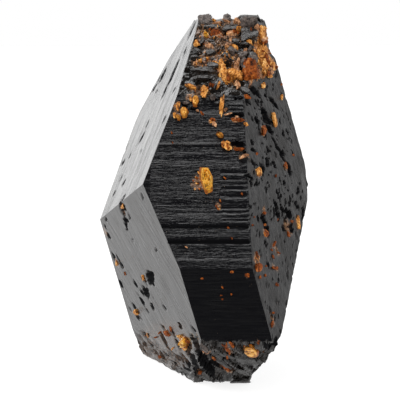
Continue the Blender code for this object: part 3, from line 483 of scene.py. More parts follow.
# Colours, and the colour ramps of dust, ore and mica.
BLACK, WARM_BLACK = (0.004, 0.004, 0.005, 1), (0.018, 0.013, 0.009, 1)
GREY, SPECK, AMBER = (0.05, 0.048, 0.046, 1), (0.24, 0.18, 0.12, 1), (0.34, 0.10, 0.012, 1)
DUST_STOPS = [(0.42, (0.008, 0.006, 0.005)), (0.51, (0.068, 0.038, 0.022)), (0.60, (0.30, 0.165, 0.090))]
OCHRE_STOPS = [(0.34, (0.05, 0.012, 0.004)), (0.44, (0.24, 0.062, 0.010)), (0.54, (0.56, 0.20, 0.030)),
               (0.68, (0.84, 0.50, 0.17))]
TAN_STOPS = [(0.34, (0.05, 0.025, 0.018)), (0.44, (0.20, 0.095, 0.055)), (0.54, (0.42, 0.22, 0.13)),
             (0.68, (0.66, 0.45, 0.30))]
ORE_STOPS = {
    "ochre": [(0.40, (0.09, 0.022, 0.005)), (0.46, (0.34, 0.10, 0.014)), (0.52, (0.62, 0.24, 0.038)),
              (0.60, (0.90, 0.55, 0.19))],
    "pale_ochre": [(0.40, (0.06, 0.026, 0.014)), (0.46, (0.28, 0.115, 0.052)), (0.53, (0.52, 0.25, 0.12)),
                   (0.61, (0.82, 0.52, 0.29))],
    "iron_brown": [(0.40, (0.018, 0.005, 0.002)), (0.47, (0.12, 0.024, 0.004)),
                   (0.54, (0.25, 0.055, 0.008)), (0.62, (0.42, 0.14, 0.025))],
    "grey_rock": [(0.40, (0.010, 0.008, 0.008)), (0.50, (0.045, 0.034, 0.030)), (0.62, (0.18, 0.14, 0.12))],
}
GOLD_STOPS = [(0.30, (0.10, 0.030, 0.006)), (0.42, (0.50, 0.17, 0.012)), (0.50, (0.86, 0.42, 0.035)),
              (0.62, (1.0, 0.68, 0.16))]
LEAF_STOPS = [(0.34, (0.09, 0.024, 0.004)), (0.42, (0.36, 0.12, 0.014)), (0.50, (0.64, 0.28, 0.042)),
              (0.61, (0.90, 0.54, 0.14))]
PAPER_STOPS = [(0.3, (0.31, 0.31, 0.31)), (0.7, (0.33, 0.33, 0.33))]
EARTH_ROUGHNESS = 0.75
# Which way the grain of an end face runs: column and row of two places along it.
GRAIN_RUNS = {UPPER: (175.5, 67, 169, 84), LOWER: (122, 250, 150, 300), RIGHT: (262, 107, 268, 126)}
FACE_FINISH = {face: "tourmaline_fluted" for face in FACES} | {
    UPPER: "tourmaline_bright", LOWER: "tourmaline_grey", "left_back": "tourmaline_grey",
    **dict.fromkeys(RIGHT_END, "tourmaline_satin"), SMOOTH: "tourmaline_smooth",
    **dict.fromkeys((CREST, TOP, FOOT, "base"), "tourmaline_broken")}

# Light: its strength where nothing is mirrored, the mirrored one, the floor's own glow, and broad lights
# and shades that the faces mirror, by direction, angles where each starts and is full, and strength.
AMBIENT, MIRROR_BASE, FLOOR_GLOW = 1.05, 0.65, 0.82
MIRROR_LIGHTS = [((0.0, -1.0, 0.2), 85, 50, -0.6), ((0.0, 0.05, 1.0), 35, 15, 1.35),
                 ((-0.25, 0.93, 0.27), 29, 4, 0.55), ((0.0, -0.17, 0.985), 18, 6, 3.2)]
# The key light: which way it lies, its distance and its side in metres, and its power in watts.
KEY_WAY, KEY_DISTANCE, KEY_SIZE, KEY_POWER = (-0.75, -0.25, 1.0), 0.6, 0.35, 1.2
# The floor: half its side, how far back its middle lies and how far down, in metres, and its grid lines.
FLOOR_HALF, FLOOR_SHIFT, FLOOR_DROP, FLOOR_LINES = 6, 3, 0.00002, 9


def unit(vector):
    """The vector divided by its length."""
    return vector / np.linalg.norm(vector)


def normal_of(face):
    """Outward normal: the end of the c axis tipped by the face's tilt towards its azimuth."""
    end, tilt, azimuth, _ = FACES[face]
    tilt, azimuth = math.radians(tilt), math.radians(azimuth)
    off = math.sin(tilt)
    return np.array([end * math.cos(tilt), -off * math.cos(azimuth), off * math.sin(azimuth)])


def rising_of(face):
    """The unit vector that rises most steeply in the face."""
    normal = normal_of(face)
    return unit(np.array([0.0, 0.0, 1.0]) - normal * normal[2])


def camera_axes():
    """Right, up and backward axes of the camera, turned about the vertical and then tipped down."""
    turn, drop = CAMERA_TURN, CAMERA_DROP
    right = np.array([math.cos(turn), math.sin(turn) * math.cos(drop), -math.sin(turn) * math.sin(drop)])
    up = np.array([0.0, math.sin(drop), math.cos(drop)])
    return right, up, np.cross(right, up)


def seen(face, column, row):
    """Where the line of sight through a column and row of the camera's frame meets the plane of a face."""
    right, up, back = camera_axes()
    half = FRAME_SIDE / 2
    sight = (column - half) * right + (half - row) * up - LENS / SENSOR * FRAME_SIDE * back
    normal = normal_of(face)
    return CAMERA_PLACE + sight * (FACES[face][3] - normal @ (CAMERA_PLACE - CORE)) / (normal @ sight)


def stroke(face, column, row, end_column, end_row, width):
    """Middle of a stroke on a face, its half length along and half width across, as vectors in the face."""
    run = unit(np.array([end_column - column, end_row - row]))
    side = np.array([-run[1], run[0]]) * width / 2
    centre = np.array([column + end_column, row + end_row]) / 2
    along = (seen(face, end_column, end_row) - seen(face, column, row)) / 2
    across = (seen(face, *(centre + side)) - seen(face, *(centre - side))) / 2
    return seen(face, *centre), along, across


def ease(share):
    """Share of the way from 0 to 1 with a level start and finish."""
    share = np.clip(share, 0, 1)
    return share * share * (3 - 2 * share)


def noise(u, v, seed):
    """Smooth noise from -1 to 1: random numbers on a square lattice, joined by eased blends."""
    table = np.random.default_rng(seed).uniform(-1, 1, (LATTICE, LATTICE))
    left, low = np.floor(u).astype(int), np.floor(v).astype(int)
    over, above = ease(u - left), ease(v - low)
    here, beyond, row, next_row = left % LATTICE, (left + 1) % LATTICE, low % LATTICE, (low + 1) % LATTICE
    near = table[here, row] * (1 - over) + table[beyond, row] * over
    far = table[here, next_row] * (1 - over) + table[beyond, next_row] * over
    return near * (1 - above) + far * above


def waves(points, layers):
    """Waves over a face: the sum of noises, each with its length in y and in z, its seed and its height."""
    return sum(noise(points[:, 1] / length, points[:, 2] / rise, seed) * height
               for length, rise, seed, height in layers)


def broken(points, cell, lift, slope, seed):
    """Height of a broken surface: each point takes the level of the nearest of some scattered seeds, one to
    every cube of a lattice, plus that seed's slope times the way from it."""
    rng = np.random.default_rng(seed)
    place = rng.uniform(0.1, 0.9, (CUBES, CUBES, CUBES, 3))
    level = rng.uniform(-1, 1, (CUBES, CUBES, CUBES))
    lean = rng.uniform(-1, 1, (CUBES, CUBES, CUBES, 3))
    scaled = points / cell
    corner = np.floor(scaled).astype(int)
    nearest = np.full(len(points), np.inf)
    height = np.zeros(len(points))
    for step in itertools.product((-1, 0, 1), repeat=3):
        cube = corner + step
        index = tuple((cube % CUBES).T)
        away = scaled - cube - place[index]
        gap = (away ** 2).sum(1)
        here = lift * level[index] + slope * (lean[index] * away).sum(1)
        height = np.where(gap < nearest, here, height)
        nearest = np.minimum(nearest, gap)
    return height


def layered(points, layers):
    """The sum of layers of broken ground, each with its cell, lift, slope, seed and shift."""
    return sum(broken(points + shift, cell, lift, slope, seed) for cell, lift, slope, seed, shift in layers)


def rubble(points):
    """Broken ground in layers along the c axis: blocks and small chips of a space drawn out along x."""
    return layered(points * ALONG_AXIS, RUBBLE)


def inside(points, middle, along, across, normal):
    """How deep points lie in a skewed box with bevelled corners: 1 at its middle and 0 on its outline."""
    frame = np.column_stack([along, across, normal * MARK_REACH])
    u, v, w = np.abs(np.linalg.solve(frame, (points - middle).T))
    return 1 - np.maximum.reduce([u, v, w, BEVEL * (u + v)])


def ragged(points):
    """The points shifted along each axis by noise at two widths, so that straight outlines turn ragged."""
    level, z = points @ [0.8, 0.6, 0.1], points[:, 2]
    shift = [noise(level / 0.45 + 9, z / 0.6, 61 + axis) * RAGGED for axis in range(3)]
    finer = [noise(level / 0.2, z / 0.28 + 5, 64 + axis) * RAGGED * 0.6 for axis in range(3)]
    return points + np.column_stack(shift) + np.column_stack(finer)


def section():
    """Corners of the band's cross-section in y and z, where each face meets the next, in order round it."""
    band = list(COLUMNS)
    corners = {}
    for before, face in zip(band[-1:] + band[:-1], band):
        sides = np.array([normal_of(before)[1:], normal_of(face)[1:]])
        corners[face] = np.linalg.solve(sides, [FACES[before][3], FACES[face][3]]) + CORE[1:]
    return corners


def rim_x(y, z, faces):
    """The x at which the end's faces cut lines along the c axis: the innermost of their planes."""
    met = []
    for face in faces:
        normal = normal_of(face)
        met.append((FACES[face][3] - normal[1] * y - normal[2] * (z - CORE[2])) / normal[0])
    return np.max(met, axis=0) if FACES[faces[0]][0] < 0 else np.min(met, axis=0)


def girdle():
    """Points round the cross-section. Each band face is divided evenly, and the division nearest to an edge
    between two end faces is moved onto it, so that grid lines run along every edge of the crystal."""
    corners = section()
    band = list(COLUMNS)
    points = []
    for face, following in zip(band, band[1:] + band[:1]):
        start, way = corners[face], corners[following] - corners[face]
        shares = np.arange(COLUMNS[face]) / COLUMNS[face]
        for end in (LEFT_END, RIGHT_END):
            for pair in itertools.combinations(end, 2):
                at = [rim_x(*start, (one,)) for one in pair]
                grow = [rim_x(*(start + way), (one,)) - x for one, x in zip(pair, at)]
                share = (at[1] - at[0]) / (grow[0] - grow[1])
                crossing = start + way * share
                on_rim = np.isclose(rim_x(*crossing, pair[:1]), rim_x(*crossing, end))
                if 0.5 / COLUMNS[face] < share < 1 and on_rim:
                    shares[1 + np.abs(shares[1:] - share).argmin()] = share
        points.append(start + np.outer(shares, way))
    return np.concatenate(points)


def apex(end):
    """The point where the three faces of an end meet."""
    return np.linalg.solve([normal_of(face) for face in end], [FACES[face][3] for face in end]) + CORE


def closed_rows(rows, poles):
    """Points and triangles of a surface whose rows run round, with a fan at each of its two poles."""
    points = np.concatenate([*rows, poles])
    grid = np.arange(len(points) - 2).reshape(len(rows), -1)
    turned = np.roll(grid, -1, axis=1)
    a, b, c, d = grid[:-1], turned[:-1], turned[1:], grid[1:]
    sheet = np.concatenate([np.stack([a, b, c], -1).reshape(-1, 3), np.stack([a, c, d], -1).reshape(-1, 3)])
    first_pole, last_pole = grid[0] * 0 + len(points) - 2, grid[0] * 0 + len(points) - 1
    start = np.stack([first_pole, turned[0], grid[0]], -1)
    stop = np.stack([last_pole, grid[-1], turned[-1]], -1)
    return points, np.concatenate([sheet, start, stop])


def body_grid():
    """Points and triangles of the faceted crystal: straight lines from the left apex to the rim of each end
    of the band, along the band, and on to the right apex, repeated round the cross-section."""
    round_points = girdle()
    y, z = round_points.T
    left, right = apex(LEFT_END), apex(RIGHT_END)
    left_rim = np.column_stack([rim_x(y, z, LEFT_END), y, z])
    right_rim = np.column_stack([rim_x(y, z, RIGHT_END), y, z])
    rings = [left + (left_rim - left) * share for share in np.arange(1, LEFT_ROWS) / LEFT_ROWS]
    rings += [left_rim + (right_rim - left_rim) * share for share in np.arange(BAND_ROWS) / BAND_ROWS]
    rings += [right_rim + (right - right_rim) * share for share in np.arange(RIGHT_ROWS) / RIGHT_ROWS]
    points, triangles = closed_rows(rings, [left, right])
    return points, triangles[:, ::-1]


def face_gaps(points):
    """Distance from every point to the plane of every face, below that face."""
    normals = np.array([normal_of(face) for face in FACES])
    return np.array([FACES[face][3] for face in FACES]) - (points - CORE) @ normals.T


def edge_distance(gaps, face):
    """Distance within a face from each point to the nearest edge."""
    normals = np.array([normal_of(name) for name in FACES])
    lean = np.sqrt(np.maximum(1 - (normals @ normals[NUMBER[face]]) ** 2, 1e-9))
    spread = gaps / lean
    spread[:, NUMBER[face]] = np.inf
    return spread.min(1)


def carve(points, marks, face, wall):
    """Depth or height that a face's marks give each point: the strongest of their sloping plateaus."""
    relief = np.zeros(len(points))
    for *ends, width, amount in marks:
        middle, along, across = stroke(face, *ends, width)
        limit = MARK_LIMIT * (along @ along + across @ across) + MARK_LIMIT
        near = np.flatnonzero(((points - middle) ** 2).sum(1) < limit)
        if len(near):
            depth = inside(ragged(points[near]), middle, along, across, normal_of(face))
            relief[near] = np.maximum(relief[near], amount * np.clip(depth / wall, 0, 1))
    return relief


def growth_steps(points, face):
    """Ridges and grooves along the c axis. Going down the face each grows evenly over most of its width,
    comes back sharply over the rest, and tapers off at its ends."""
    relief = np.zeros(len(points))
    rising = rising_of(face)
    x = points[:, 0]
    for row, column, end_column, half_width, amount in STEPS.get(face, []):
        middle_column = (column + end_column) / 2
        middle = seen(face, middle_column, row)
        half_length = seen(face, end_column, row)[0] - middle[0]
        half = (seen(face, middle_column, row - half_width) - middle) @ rising
        down = ((middle - points) @ rising + 0.04 * noise(x / 1.5, x * 0 + row, 15)) / half
        profile = np.minimum((down + 1) / (STEP_TURN + 1), (1 - down) / (1 - STEP_TURN))
        ends = ease((1 - np.abs(x - middle[0]) / half_length) / 0.06)
        relief = np.where((profile > 0) & (ends > 0), amount * profile * ends, relief)
    return relief


def striae(points, face):
    """Fine ridges along the c axis: noises drawn out along x and narrow across it, at three widths."""
    across, x = points @ rising_of(face), points[:, 0]
    ridges = sum(noise(x / length + shift, across / width, seed) * height
                 for length, width, shift, seed, height in STRIAE)
    return ridges * ease((x - CORNER_FACET) / 0.5 + 1)


def slabs(points):
    """Broken ground of long slabs that run down to the right: blocks of a stretched space."""
    down = unit(seen(FOOT, 245, 368) - seen(FOOT, 215, 348))
    return layered(points - np.outer(points @ down, down) * 0.85, SLABS)


def crest_ground(points, strength):
    """The broken crest: blocks and chips in layers along the c axis, lower near the fluted face and in the
    calmer stretches."""
    up_crest = (points - seen(FLUTED, 205, 103)) @ rising_of(CREST)
    rough = (0.35 + 0.65 * ease(up_crest / 3.0)) * strength
    return rough * (1 - 0.8 * carve(points, CALM, CREST, CALM_WALL)) * rubble(points)


def foot_share(points):
    """How much a point belongs to the ragged foot: 1 at the base, 0 from a few millimetres up."""
    return 1 - ease((points[:, 2] - 1.5 + noise(points[:, 1] / 1.5, points[:, 2] / 1.5, 49)) / 4.0)


def etched(points):
    """Where a face is etched into small ragged pits, from 0 to 1: noises drawn out down to the right, cut
    off at a level that rises and falls over the face and is low in the etched zones."""
    across = points[:, 2] * 0.42 - points[:, 1] * 0.9
    along = points[:, 2] * 0.9 + points[:, 1] * 0.42
    coarse = noise(across / 0.5, along / 1.1, 46) + 0.55 * noise(across / 0.22, along / 0.45, 47)
    level = 0.86 + waves(points, LEVEL_WAVES) - carve(points, ETCHED_ZONES, RIGHT, ZONE_WALL)
    return ease((coarse - level) / 0.15)


def relief_of(points, gaps, face):
    """Height of a face's own surface over its plane."""
    edge = edge_distance(gaps, face)
    off_edge = ease(edge / 0.5)
    if face == "base":
        return -np.abs(1.1 * rubble(points)) * (1 - ease(edge / 2.5))
    if face in (CREST, TOP):
        return crest_ground(points, 0.4 if face == TOP else 1.0)
    if face == FOOT:
        return slabs(points)
    if face == SMOOTH:
        return noise(points[:, 0] / 3, points[:, 2] / 2, 41) * 0.02 * off_edge
    if FACES[face][1] == PRISM:
        return striae(points, face) * (0.35 + 0.65 * off_edge)
    if face == LOWER:
        low = foot_share(points)
        ground = 0.7 * rubble(points) - 0.45 - FOOT_ETCH * etched(points)
        return low * ground + (1 - low) * waves(points, LOWER_WAVES) * off_edge
    rolling = waves(points, END_WAVES) * off_edge
    if face in RIGHT_END:
        return rolling + waves(points, ETCHED_WAVES) - ETCH_DEPTH * etched(points)
    return rolling


def worn(points):
    """How much is worn off round the worn corners, easing to nothing at their reach."""
    loss = np.zeros(len(points))
    for face, column, row, reach, depth in WORN:
        away = np.linalg.norm(points - seen(face, column, row), axis=1)
        loss = np.maximum(loss, depth * (1 - ease(away / reach)))
    return loss


def carved(points, table, wall):
    """Depth or height that the marks of all faces give each point."""
    return np.max([carve(points, marks, face, wall) for face, marks in table.items()], axis=0)


def crystal_shape():
    """The crystal: the faceted body moved along its faces' normals by each face's own surface, its ledges
    and its cuts. An edge moves by the mean of the faces that meet there. Also how hollow each point is."""
    points, triangles = body_grid()
    gaps = face_gaps(points)
    cut, block = carved(points, CUTS, CUT_WALL), carved(points, BLOCKS, BLOCK_WALL)
    hollow = np.zeros(len(points))
    on_right = np.flatnonzero(gaps[:, [NUMBER[face] for face in RIGHT_END]].min(1) < ON_FACE)
    hollow[on_right] = etched(points[on_right]) * ETCH_DEPTH
    on_lower = np.flatnonzero(gaps[:, NUMBER[LOWER]] < ON_FACE)
    hollow[on_lower] = etched(points[on_lower]) * foot_share(points[on_lower]) * FOOT_ETCH
    shift, total = np.zeros_like(points), np.zeros(len(points))
    for face, number in NUMBER.items():
        on = np.flatnonzero(gaps[:, number] < ON_FACE)
        steps = growth_steps(points[on], face)
        hollow[on] = np.maximum(hollow[on], -steps * STEP_SHADE)
        height = relief_of(points[on], gaps[on], face) + steps
        if face != "base":
            height += block[on] - cut[on] - worn(points[on])
        shift[on] += np.outer(height, normal_of(face))
        total[on] += 1
    moved = points + shift / total[:, None]
    moved[:, 2] = np.clip(moved[:, 2], 0, HEIGHT)
    face_numbers = face_gaps(points[triangles].mean(1)).argmin(1)
    return points, moved, triangles, face_numbers, np.maximum(cut, hollow)


def coat_of(points):
    """The share of ochre and rust that covers the black at each point: the strokes laid on in order."""
    coat, shifted = np.zeros(len(points)), ragged(points)
    for face, strokes in COATS:
        for *ends, width, share in strokes:
            depth = inside(shifted, *stroke(face, *ends, width), normal_of(face))
            coat += (share - coat) * ease(depth / 0.4)
    return coat


def new_piece(name, points, triangles, materials, slots, crease):
    """A mesh object from arrays in millimetres, smooth except across edges sharper than the crease."""
    mesh = bpy.data.meshes.new(name)
    mesh.from_pydata(points * MM, [], triangles)
    mesh.polygons.foreach_set("material_index", np.asarray(slots, np.int32))
    for material in materials:
        mesh.materials.append(material)
    mesh.shade_smooth()
    mesh.set_sharp_from_angle(angle=math.radians(crease))
    mesh.update()
    piece = bpy.data.objects.new(name, mesh)
    bpy.context.scene.collection.objects.link(piece)
    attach(piece, "root")
    return piece


def add_attribute(piece, name, values):
    """A number at each vertex, for the materials to read."""
    made = piece.data.attributes.new(name, "FLOAT", "POINT")
    made.data.foreach_set("value", np.asarray(values, np.float32))


def chunk(rng, rounds, stations, planes, wear):
    """A broken grain round the origin: along each direction it reaches the nearest of some random planes,
    with a little worn off. Rows run from pole to pole."""
    fall = math.pi * np.arange(1, stations) / stations
    turn = 2 * math.pi * np.arange(rounds) / rounds
    fall, turn = np.meshgrid(fall, turn, indexing="ij")
    rows = np.stack([np.sin(fall) * np.cos(turn), np.sin(fall) * np.sin(turn), np.cos(fall)], -1)
    ways, triangles = closed_rows(rows, [[0, 0, 1], [0, 0, -1]])
    sides = rng.normal(size=(planes, 3))
    sides /= np.linalg.norm(sides, axis=1)[:, None]
    sides = np.concatenate([sides, np.eye(3), -np.eye(3)])
    reach = np.concatenate([rng.uniform(0.5, 0.95, planes), rng.uniform(0.8, 1.0, 6)])
    radius = np.minimum(1 / np.maximum((ways @ sides.T / reach).max(1), 0.05), 1.2)
    shift = rng.uniform(0, 9, 3)
    chips = broken(ways * 2.5 + shift, 1.0, 0.8, 0.6, 51) + broken(ways * 6 + shift, 1.0, 0.5, 0.4, 52)
    radius *= 1 + wear * chips
    return ways * radius[:, None], triangles[:, ::-1]


def book(rng, rounds, leaves, crumple):
    """A mica book round the origin: a six-sided outline carried up a stepped profile, each leaf a little
    smaller than the one below and shifted on it, then inward over a crumpled top."""
    turn = 2 * math.pi * np.arange(rounds) / rounds
    reach = rng.uniform(0.8, 1.0, 6)
    sides = np.arange(6) * math.pi / 3 + rng.uniform(-0.15, 0.15, 6)
    rows = []
    height, width = -1.0, 1.0
    for _ in range(leaves):
        spread = np.cos(turn[:, None] - sides) / (reach * rng.uniform(0.9, 1.04, 6))
        outline = 1 / np.maximum(spread, 0.05).max(1)
        drift = rng.uniform(-0.05, 0.05, 2)
        top = height + rng.uniform(0.6, 1.4) * 2.0 / leaves
        x, y = np.cos(turn) * outline * width + drift[0], np.sin(turn) * outline * width + drift[1]
        rows += [np.column_stack([x, y, np.full(rounds, level)]) for level in (height, top)]
        height, width = top, width * rng.uniform(0.86, 0.98)
    rim = rows[-1]
    for share in (0.85, 0.7, 0.55, 0.4, 0.25, 0.1):
        inner = rim * [share, share, 1]
        inner[:, 2] += crumple * broken(inner * [1, 1, 0] + rng.uniform(0, 1), 0.5, 0.25, 1.6, 53)
        rows.append(inner)
    return closed_rows(rows, [[0, 0, -1.0], [0, 0, height]])


def shape_of(rng, kind, half_length):
    """Points and triangles of one grain round the origin: a mica book, or a chunk as fine as its size."""
    if kind == "gold":
        return book(rng, 48, 6, 1.0)
    if kind == "leaf":
        return book(rng, 48, 3, 0.45)
    if half_length > 0.7:
        return chunk(rng, 36, 24, 6, WEAR[kind])
    if half_length > 0.4:
        return chunk(rng, 14, 9, 7, 0.22)
    return chunk(rng, 8, 5, 6, 0.1)


def slanted(place, lean, half_length):
    """Both ends of a stroke that leans over by an angle, by its middle and half its length."""
    half = np.array([math.cos(lean), math.sin(lean)]) * half_length
    return (*(place - half), *(place + half))


def cluster(rng, kind, face, column, row, end_column, end_row, width, thickness):
    """The chunks of one grain, each with how far it is raised. A wide earthy grain is a low core with
    smaller chunks of its own and kindred minerals scattered over it."""
    chunks = [(kind, face, (column, row, end_column, end_row), width, thickness, 0.0)]
    if kind not in KINDS_BESIDE or width < CLUSTER_FROM:
        return chunks
    length = math.hypot(end_column - column, end_row - row)
    run = np.array([end_column - column, end_row - row]) / length
    side = np.array([-run[1], run[0]])
    for _ in range(int(CHUNKS_PER_AREA * (length + width) * width)):
        place = np.array([column, row]) + run * length * rng.uniform(0.02, 0.98)
        place = place + side * width * rng.uniform(-0.36, 0.36)
        ends = slanted(place, SHARD_LEAN + rng.uniform(-0.5, 0.5), rng.uniform(1.6, 4.2))
        chunks.append((rng.choice(KINDS_BESIDE[kind]), face, ends, rng.uniform(2.0, 4.2),
                       thickness * rng.uniform(0.3, 0.6), thickness * rng.uniform(0.1, 0.45)))
    return chunks


def litter(rng, face, left, right, top, bottom, count):
    """Small grains scattered over a stretch of a face, as many of them as the coat there is thick."""
    spots = rng.uniform((left, top), (right, bottom), (count, 2))
    places = np.array([seen(face, *spot) for spot in spots])
    gaps = np.delete(face_gaps(places), NUMBER[face], axis=1)
    kept = (coat_of(places) > rng.uniform(0.1, 0.9, count)) & (gaps.min(1) > LITTER_MARGIN)
    grains = []
    for spot in spots[kept]:
        ends = slanted(spot, rng.uniform(0, math.pi), rng.uniform(0.6, 2.0))
        kind = rng.choice(LITTER_KINDS)
        grains.append((kind, face, *ends, rng.uniform(0.9, 2.4), rng.uniform(0.25, 0.6)))
    return grains


def grain_piece(name, grains, ground, materials, seed):
    """A piece of one or more grains. Each chunk is scaled to its stroke and thickness, and sits on the
    finished surface under it, a little sunk in."""
    rng = np.random.default_rng(seed)
    plane_points, moved = ground
    all_points, all_triangles, all_slots, all_rims = [], [], [], []
    start = 0
    chunks = [one for grain in grains for one in cluster(rng, *grain)]
    for kind, face, ends, width, thickness, lift in chunks:
        middle, along, across = stroke(face, *ends, width)
        normal = normal_of(face)
        half_length = np.linalg.norm(along)
        away = ((plane_points - middle) ** 2).sum(1)
        under = np.append(np.flatnonzero(away < (half_length * GROUND_REACH) ** 2), away.argmin())
        share = FLAKE_SHARE if kind in FLAKES else GROUND_SHARE
        raised = (moved[under] - plane_points[under]) @ normal
        level = np.percentile(raised, share) + RAISED * thickness + lift
        shape, triangles = shape_of(rng, kind, half_length)
        tip = unit(normal + rng.uniform(-0.3, 0.3, 3)) * thickness / 2
        if np.cross(along, across) @ normal < 0:
            across = -across
        all_points.append(middle + normal * level + shape @ np.array([along, across, tip]))
        all_triangles.append(triangles + start)
        all_slots.append(np.full(len(triangles), GRAIN_SLOTS.index(kind)))
        all_rims.append(np.hypot(shape[:, 0], shape[:, 1]) if kind in FLAKES else np.zeros(len(shape)))
        start += len(shape)
    points = np.concatenate(all_points)
    points[:, 2] = np.clip(points[:, 2], FLOOR_GAP, HEIGHT)
    slots = np.concatenate(all_slots)
    piece = new_piece(name, points, np.concatenate(all_triangles), materials, slots, GRAIN_CREASE)
    add_attribute(piece, "rim", np.concatenate(all_rims))
    return piece


def put(tree, kind, links=None, **settings):
    """Adds a node: settings are its own properties, links its inputs, each a value or another's output."""
    made = tree.nodes.new("ShaderNode" + kind)
    for name, value in settings.items():
        setattr(made, name, value)
    for name, value in (links or {}).items():
        if isinstance(value, bpy.types.NodeSocket):
            tree.links.new(value, made.inputs[name])
        else:
            made.inputs[name].default_value = value
    return made


def worked(tree, operation, first, second=0.5):
    """One or two values put through the given operation."""
    return put(tree, "Math", {0: first, 1: second}, operation=operation).outputs[0]


def attribute(tree, name):
    """A number that the mesh's vertices carry."""
    return put(tree, "Attribute", attribute_name=name).outputs["Fac"]


def ramp(tree, share, stops):
    """A colour ramp: pairs of a place from 0 to 1 and a colour."""
    made = put(tree, "ValToRGB", {"Fac": share})
    points = made.color_ramp.elements
    for (place, colour), point in zip(stops, [points[0], points[1]] + [points.new(0.5) for _ in stops[2:]]):
        point.position = place
        point.color = (*colour, 1)
    return made.outputs["Color"]


def rescale(tree, value, start, end, low=0.0, high=1.0):
    """A value eased from one range to another and held at its ends."""
    links = {"Value": value, "From Min": start, "From Max": end, "To Min": low, "To Max": high}
    return put(tree, "MapRange", links, interpolation_type="SMOOTHSTEP").outputs["Result"]


def mixed(tree, share, first, second):
    """Two colours mixed by a share."""
    return put(tree, "Mix", {0: share, 6: first, 7: second}, data_type="RGBA").outputs[2]


def blended(tree, share, first, second):
    """Two values mixed by a share."""
    return put(tree, "Mix", {0: share, 2: first, 3: second}).outputs[0]


def grain_space(tree, cell, axes=None):
    """The object's own coordinates in cells of the given sizes in millimetres, turned to the given axes."""
    turned = Matrix(np.array(axes if axes is not None else np.eye(3)).T.tolist()).to_euler()
    made = put(tree, "Mapping", {"Vector": put(tree, "TexCoord").outputs["Object"], "Rotation": turned,
                                 "Scale": [size * MM for size in cell]}, vector_type="TEXTURE")
    return made.outputs["Vector"]


def speckle(tree, space, detail=3.0, roughness=0.55, distortion=0.0):
    """Fractal noise from 0 to 1 in the given space."""
    made = put(tree, "TexNoise", {"Vector": space, "Scale": 1.0, "Detail": detail, "Roughness": roughness,
                                  "Distortion": distortion})
    return made.outputs["Fac"]


def hairlines(tree, space):
    """Long thin grooves, 0 in them and 1 between: the lines where a drawn-out noise crosses its middle."""
    offset = worked(tree, "SUBTRACT", speckle(tree, space, 2.0))
    return rescale(tree, worked(tree, "ABSOLUTE", offset), 0.0, 0.03)


def new_material(name, **values):
    """A material with one Principled shader, its even values set on the shader's own sockets."""
    material = bpy.data.materials.new(name)
    material.use_nodes = True
    tree = material.node_tree
    shader = tree.nodes["Principled BSDF"]
    for socket, value in values.items():
        shader.inputs[socket.replace("_", " ")].default_value = value
    return material, tree, shader


def bumps(tree, shader, layers):
    """Bump layers on a shader, each a height and how far it stands out in millimetres."""
    normal = None
    for height, depth in layers:
        links = {"Height": height, "Distance": depth * MM, "Strength": 1.0}
        if normal is not None:
            links["Normal"] = normal
        normal = put(tree, "Bump", links).outputs["Normal"]
    tree.links.new(normal, shader.inputs["Normal"])


def tourmaline(name, low, high, grain, layers, axes=None, warm=0.0, veil=0.0, **values):
    """Black tourmaline: near black with a trace of brown, roughness that drifts between low and high, and
    fine grain in cells drawn out along the given axes. Ochre covers the share in the coat attribute."""
    material, tree, shader = new_material(name, IOR=1.64, **values)
    lines = speckle(tree, grain_space(tree, grain, axes), 3.0, 0.6)
    hairs = hairlines(tree, grain_space(tree, [size * 2.2 for size in grain], axes))
    clouds = speckle(tree, grain_space(tree, (5, 5, 5)), 3.0)
    pores = speckle(tree, grain_space(tree, (0.5, 0.5, 0.5)), 4.0, 0.65)
    crumbs = speckle(tree, grain_space(tree, (0.9, 0.5, 0.5)), 5.0, 0.65, 0.5)
    coat = attribute(tree, "coat")
    covered = rescale(tree, worked(tree, "ADD", coat, pores), 0.98, 1.06)
    black = mixed(tree, rescale(tree, clouds, 0.3, 0.75, warm * 0.4, warm), BLACK, WARM_BLACK)
    black = mixed(tree, rescale(tree, lines, 0.42, 0.62, 0.0, veil), black, GREY)
    black = mixed(tree, rescale(tree, coat, 0.02, 0.5), black, ramp(tree, crumbs, DUST_STOPS))
    specks = speckle(tree, grain_space(tree, (0.22, 0.22, 0.22)), 1.0)
    black = mixed(tree, rescale(tree, specks, 0.79, 0.82), black, SPECK)
    earth = mixed(tree, rescale(tree, clouds, 0.45, 0.62), ramp(tree, crumbs, OCHRE_STOPS),
                  ramp(tree, crumbs, TAN_STOPS))
    tree.links.new(mixed(tree, covered, black, earth), shader.inputs["Base Color"])
    sheen = rescale(tree, worked(tree, "MULTIPLY", clouds, lines), 0.12, 0.42, low, high)
    tree.links.new(blended(tree, covered, sheen, EARTH_ROUGHNESS), shader.inputs["Roughness"])
    bumps(tree, shader, [(lines, layers[0]), (pores, layers[1]), (hairs, layers[2]), (covered, 0.08)])
    return material


def face_axes(face):
    """Axes of a face for drawn-out grain: along its run, across it in the face, and the normal."""
    along = unit(seen(face, *GRAIN_RUNS[face][2:]) - seen(face, *GRAIN_RUNS[face][:2]))
    normal = normal_of(face)
    return along, np.cross(normal, along), normal


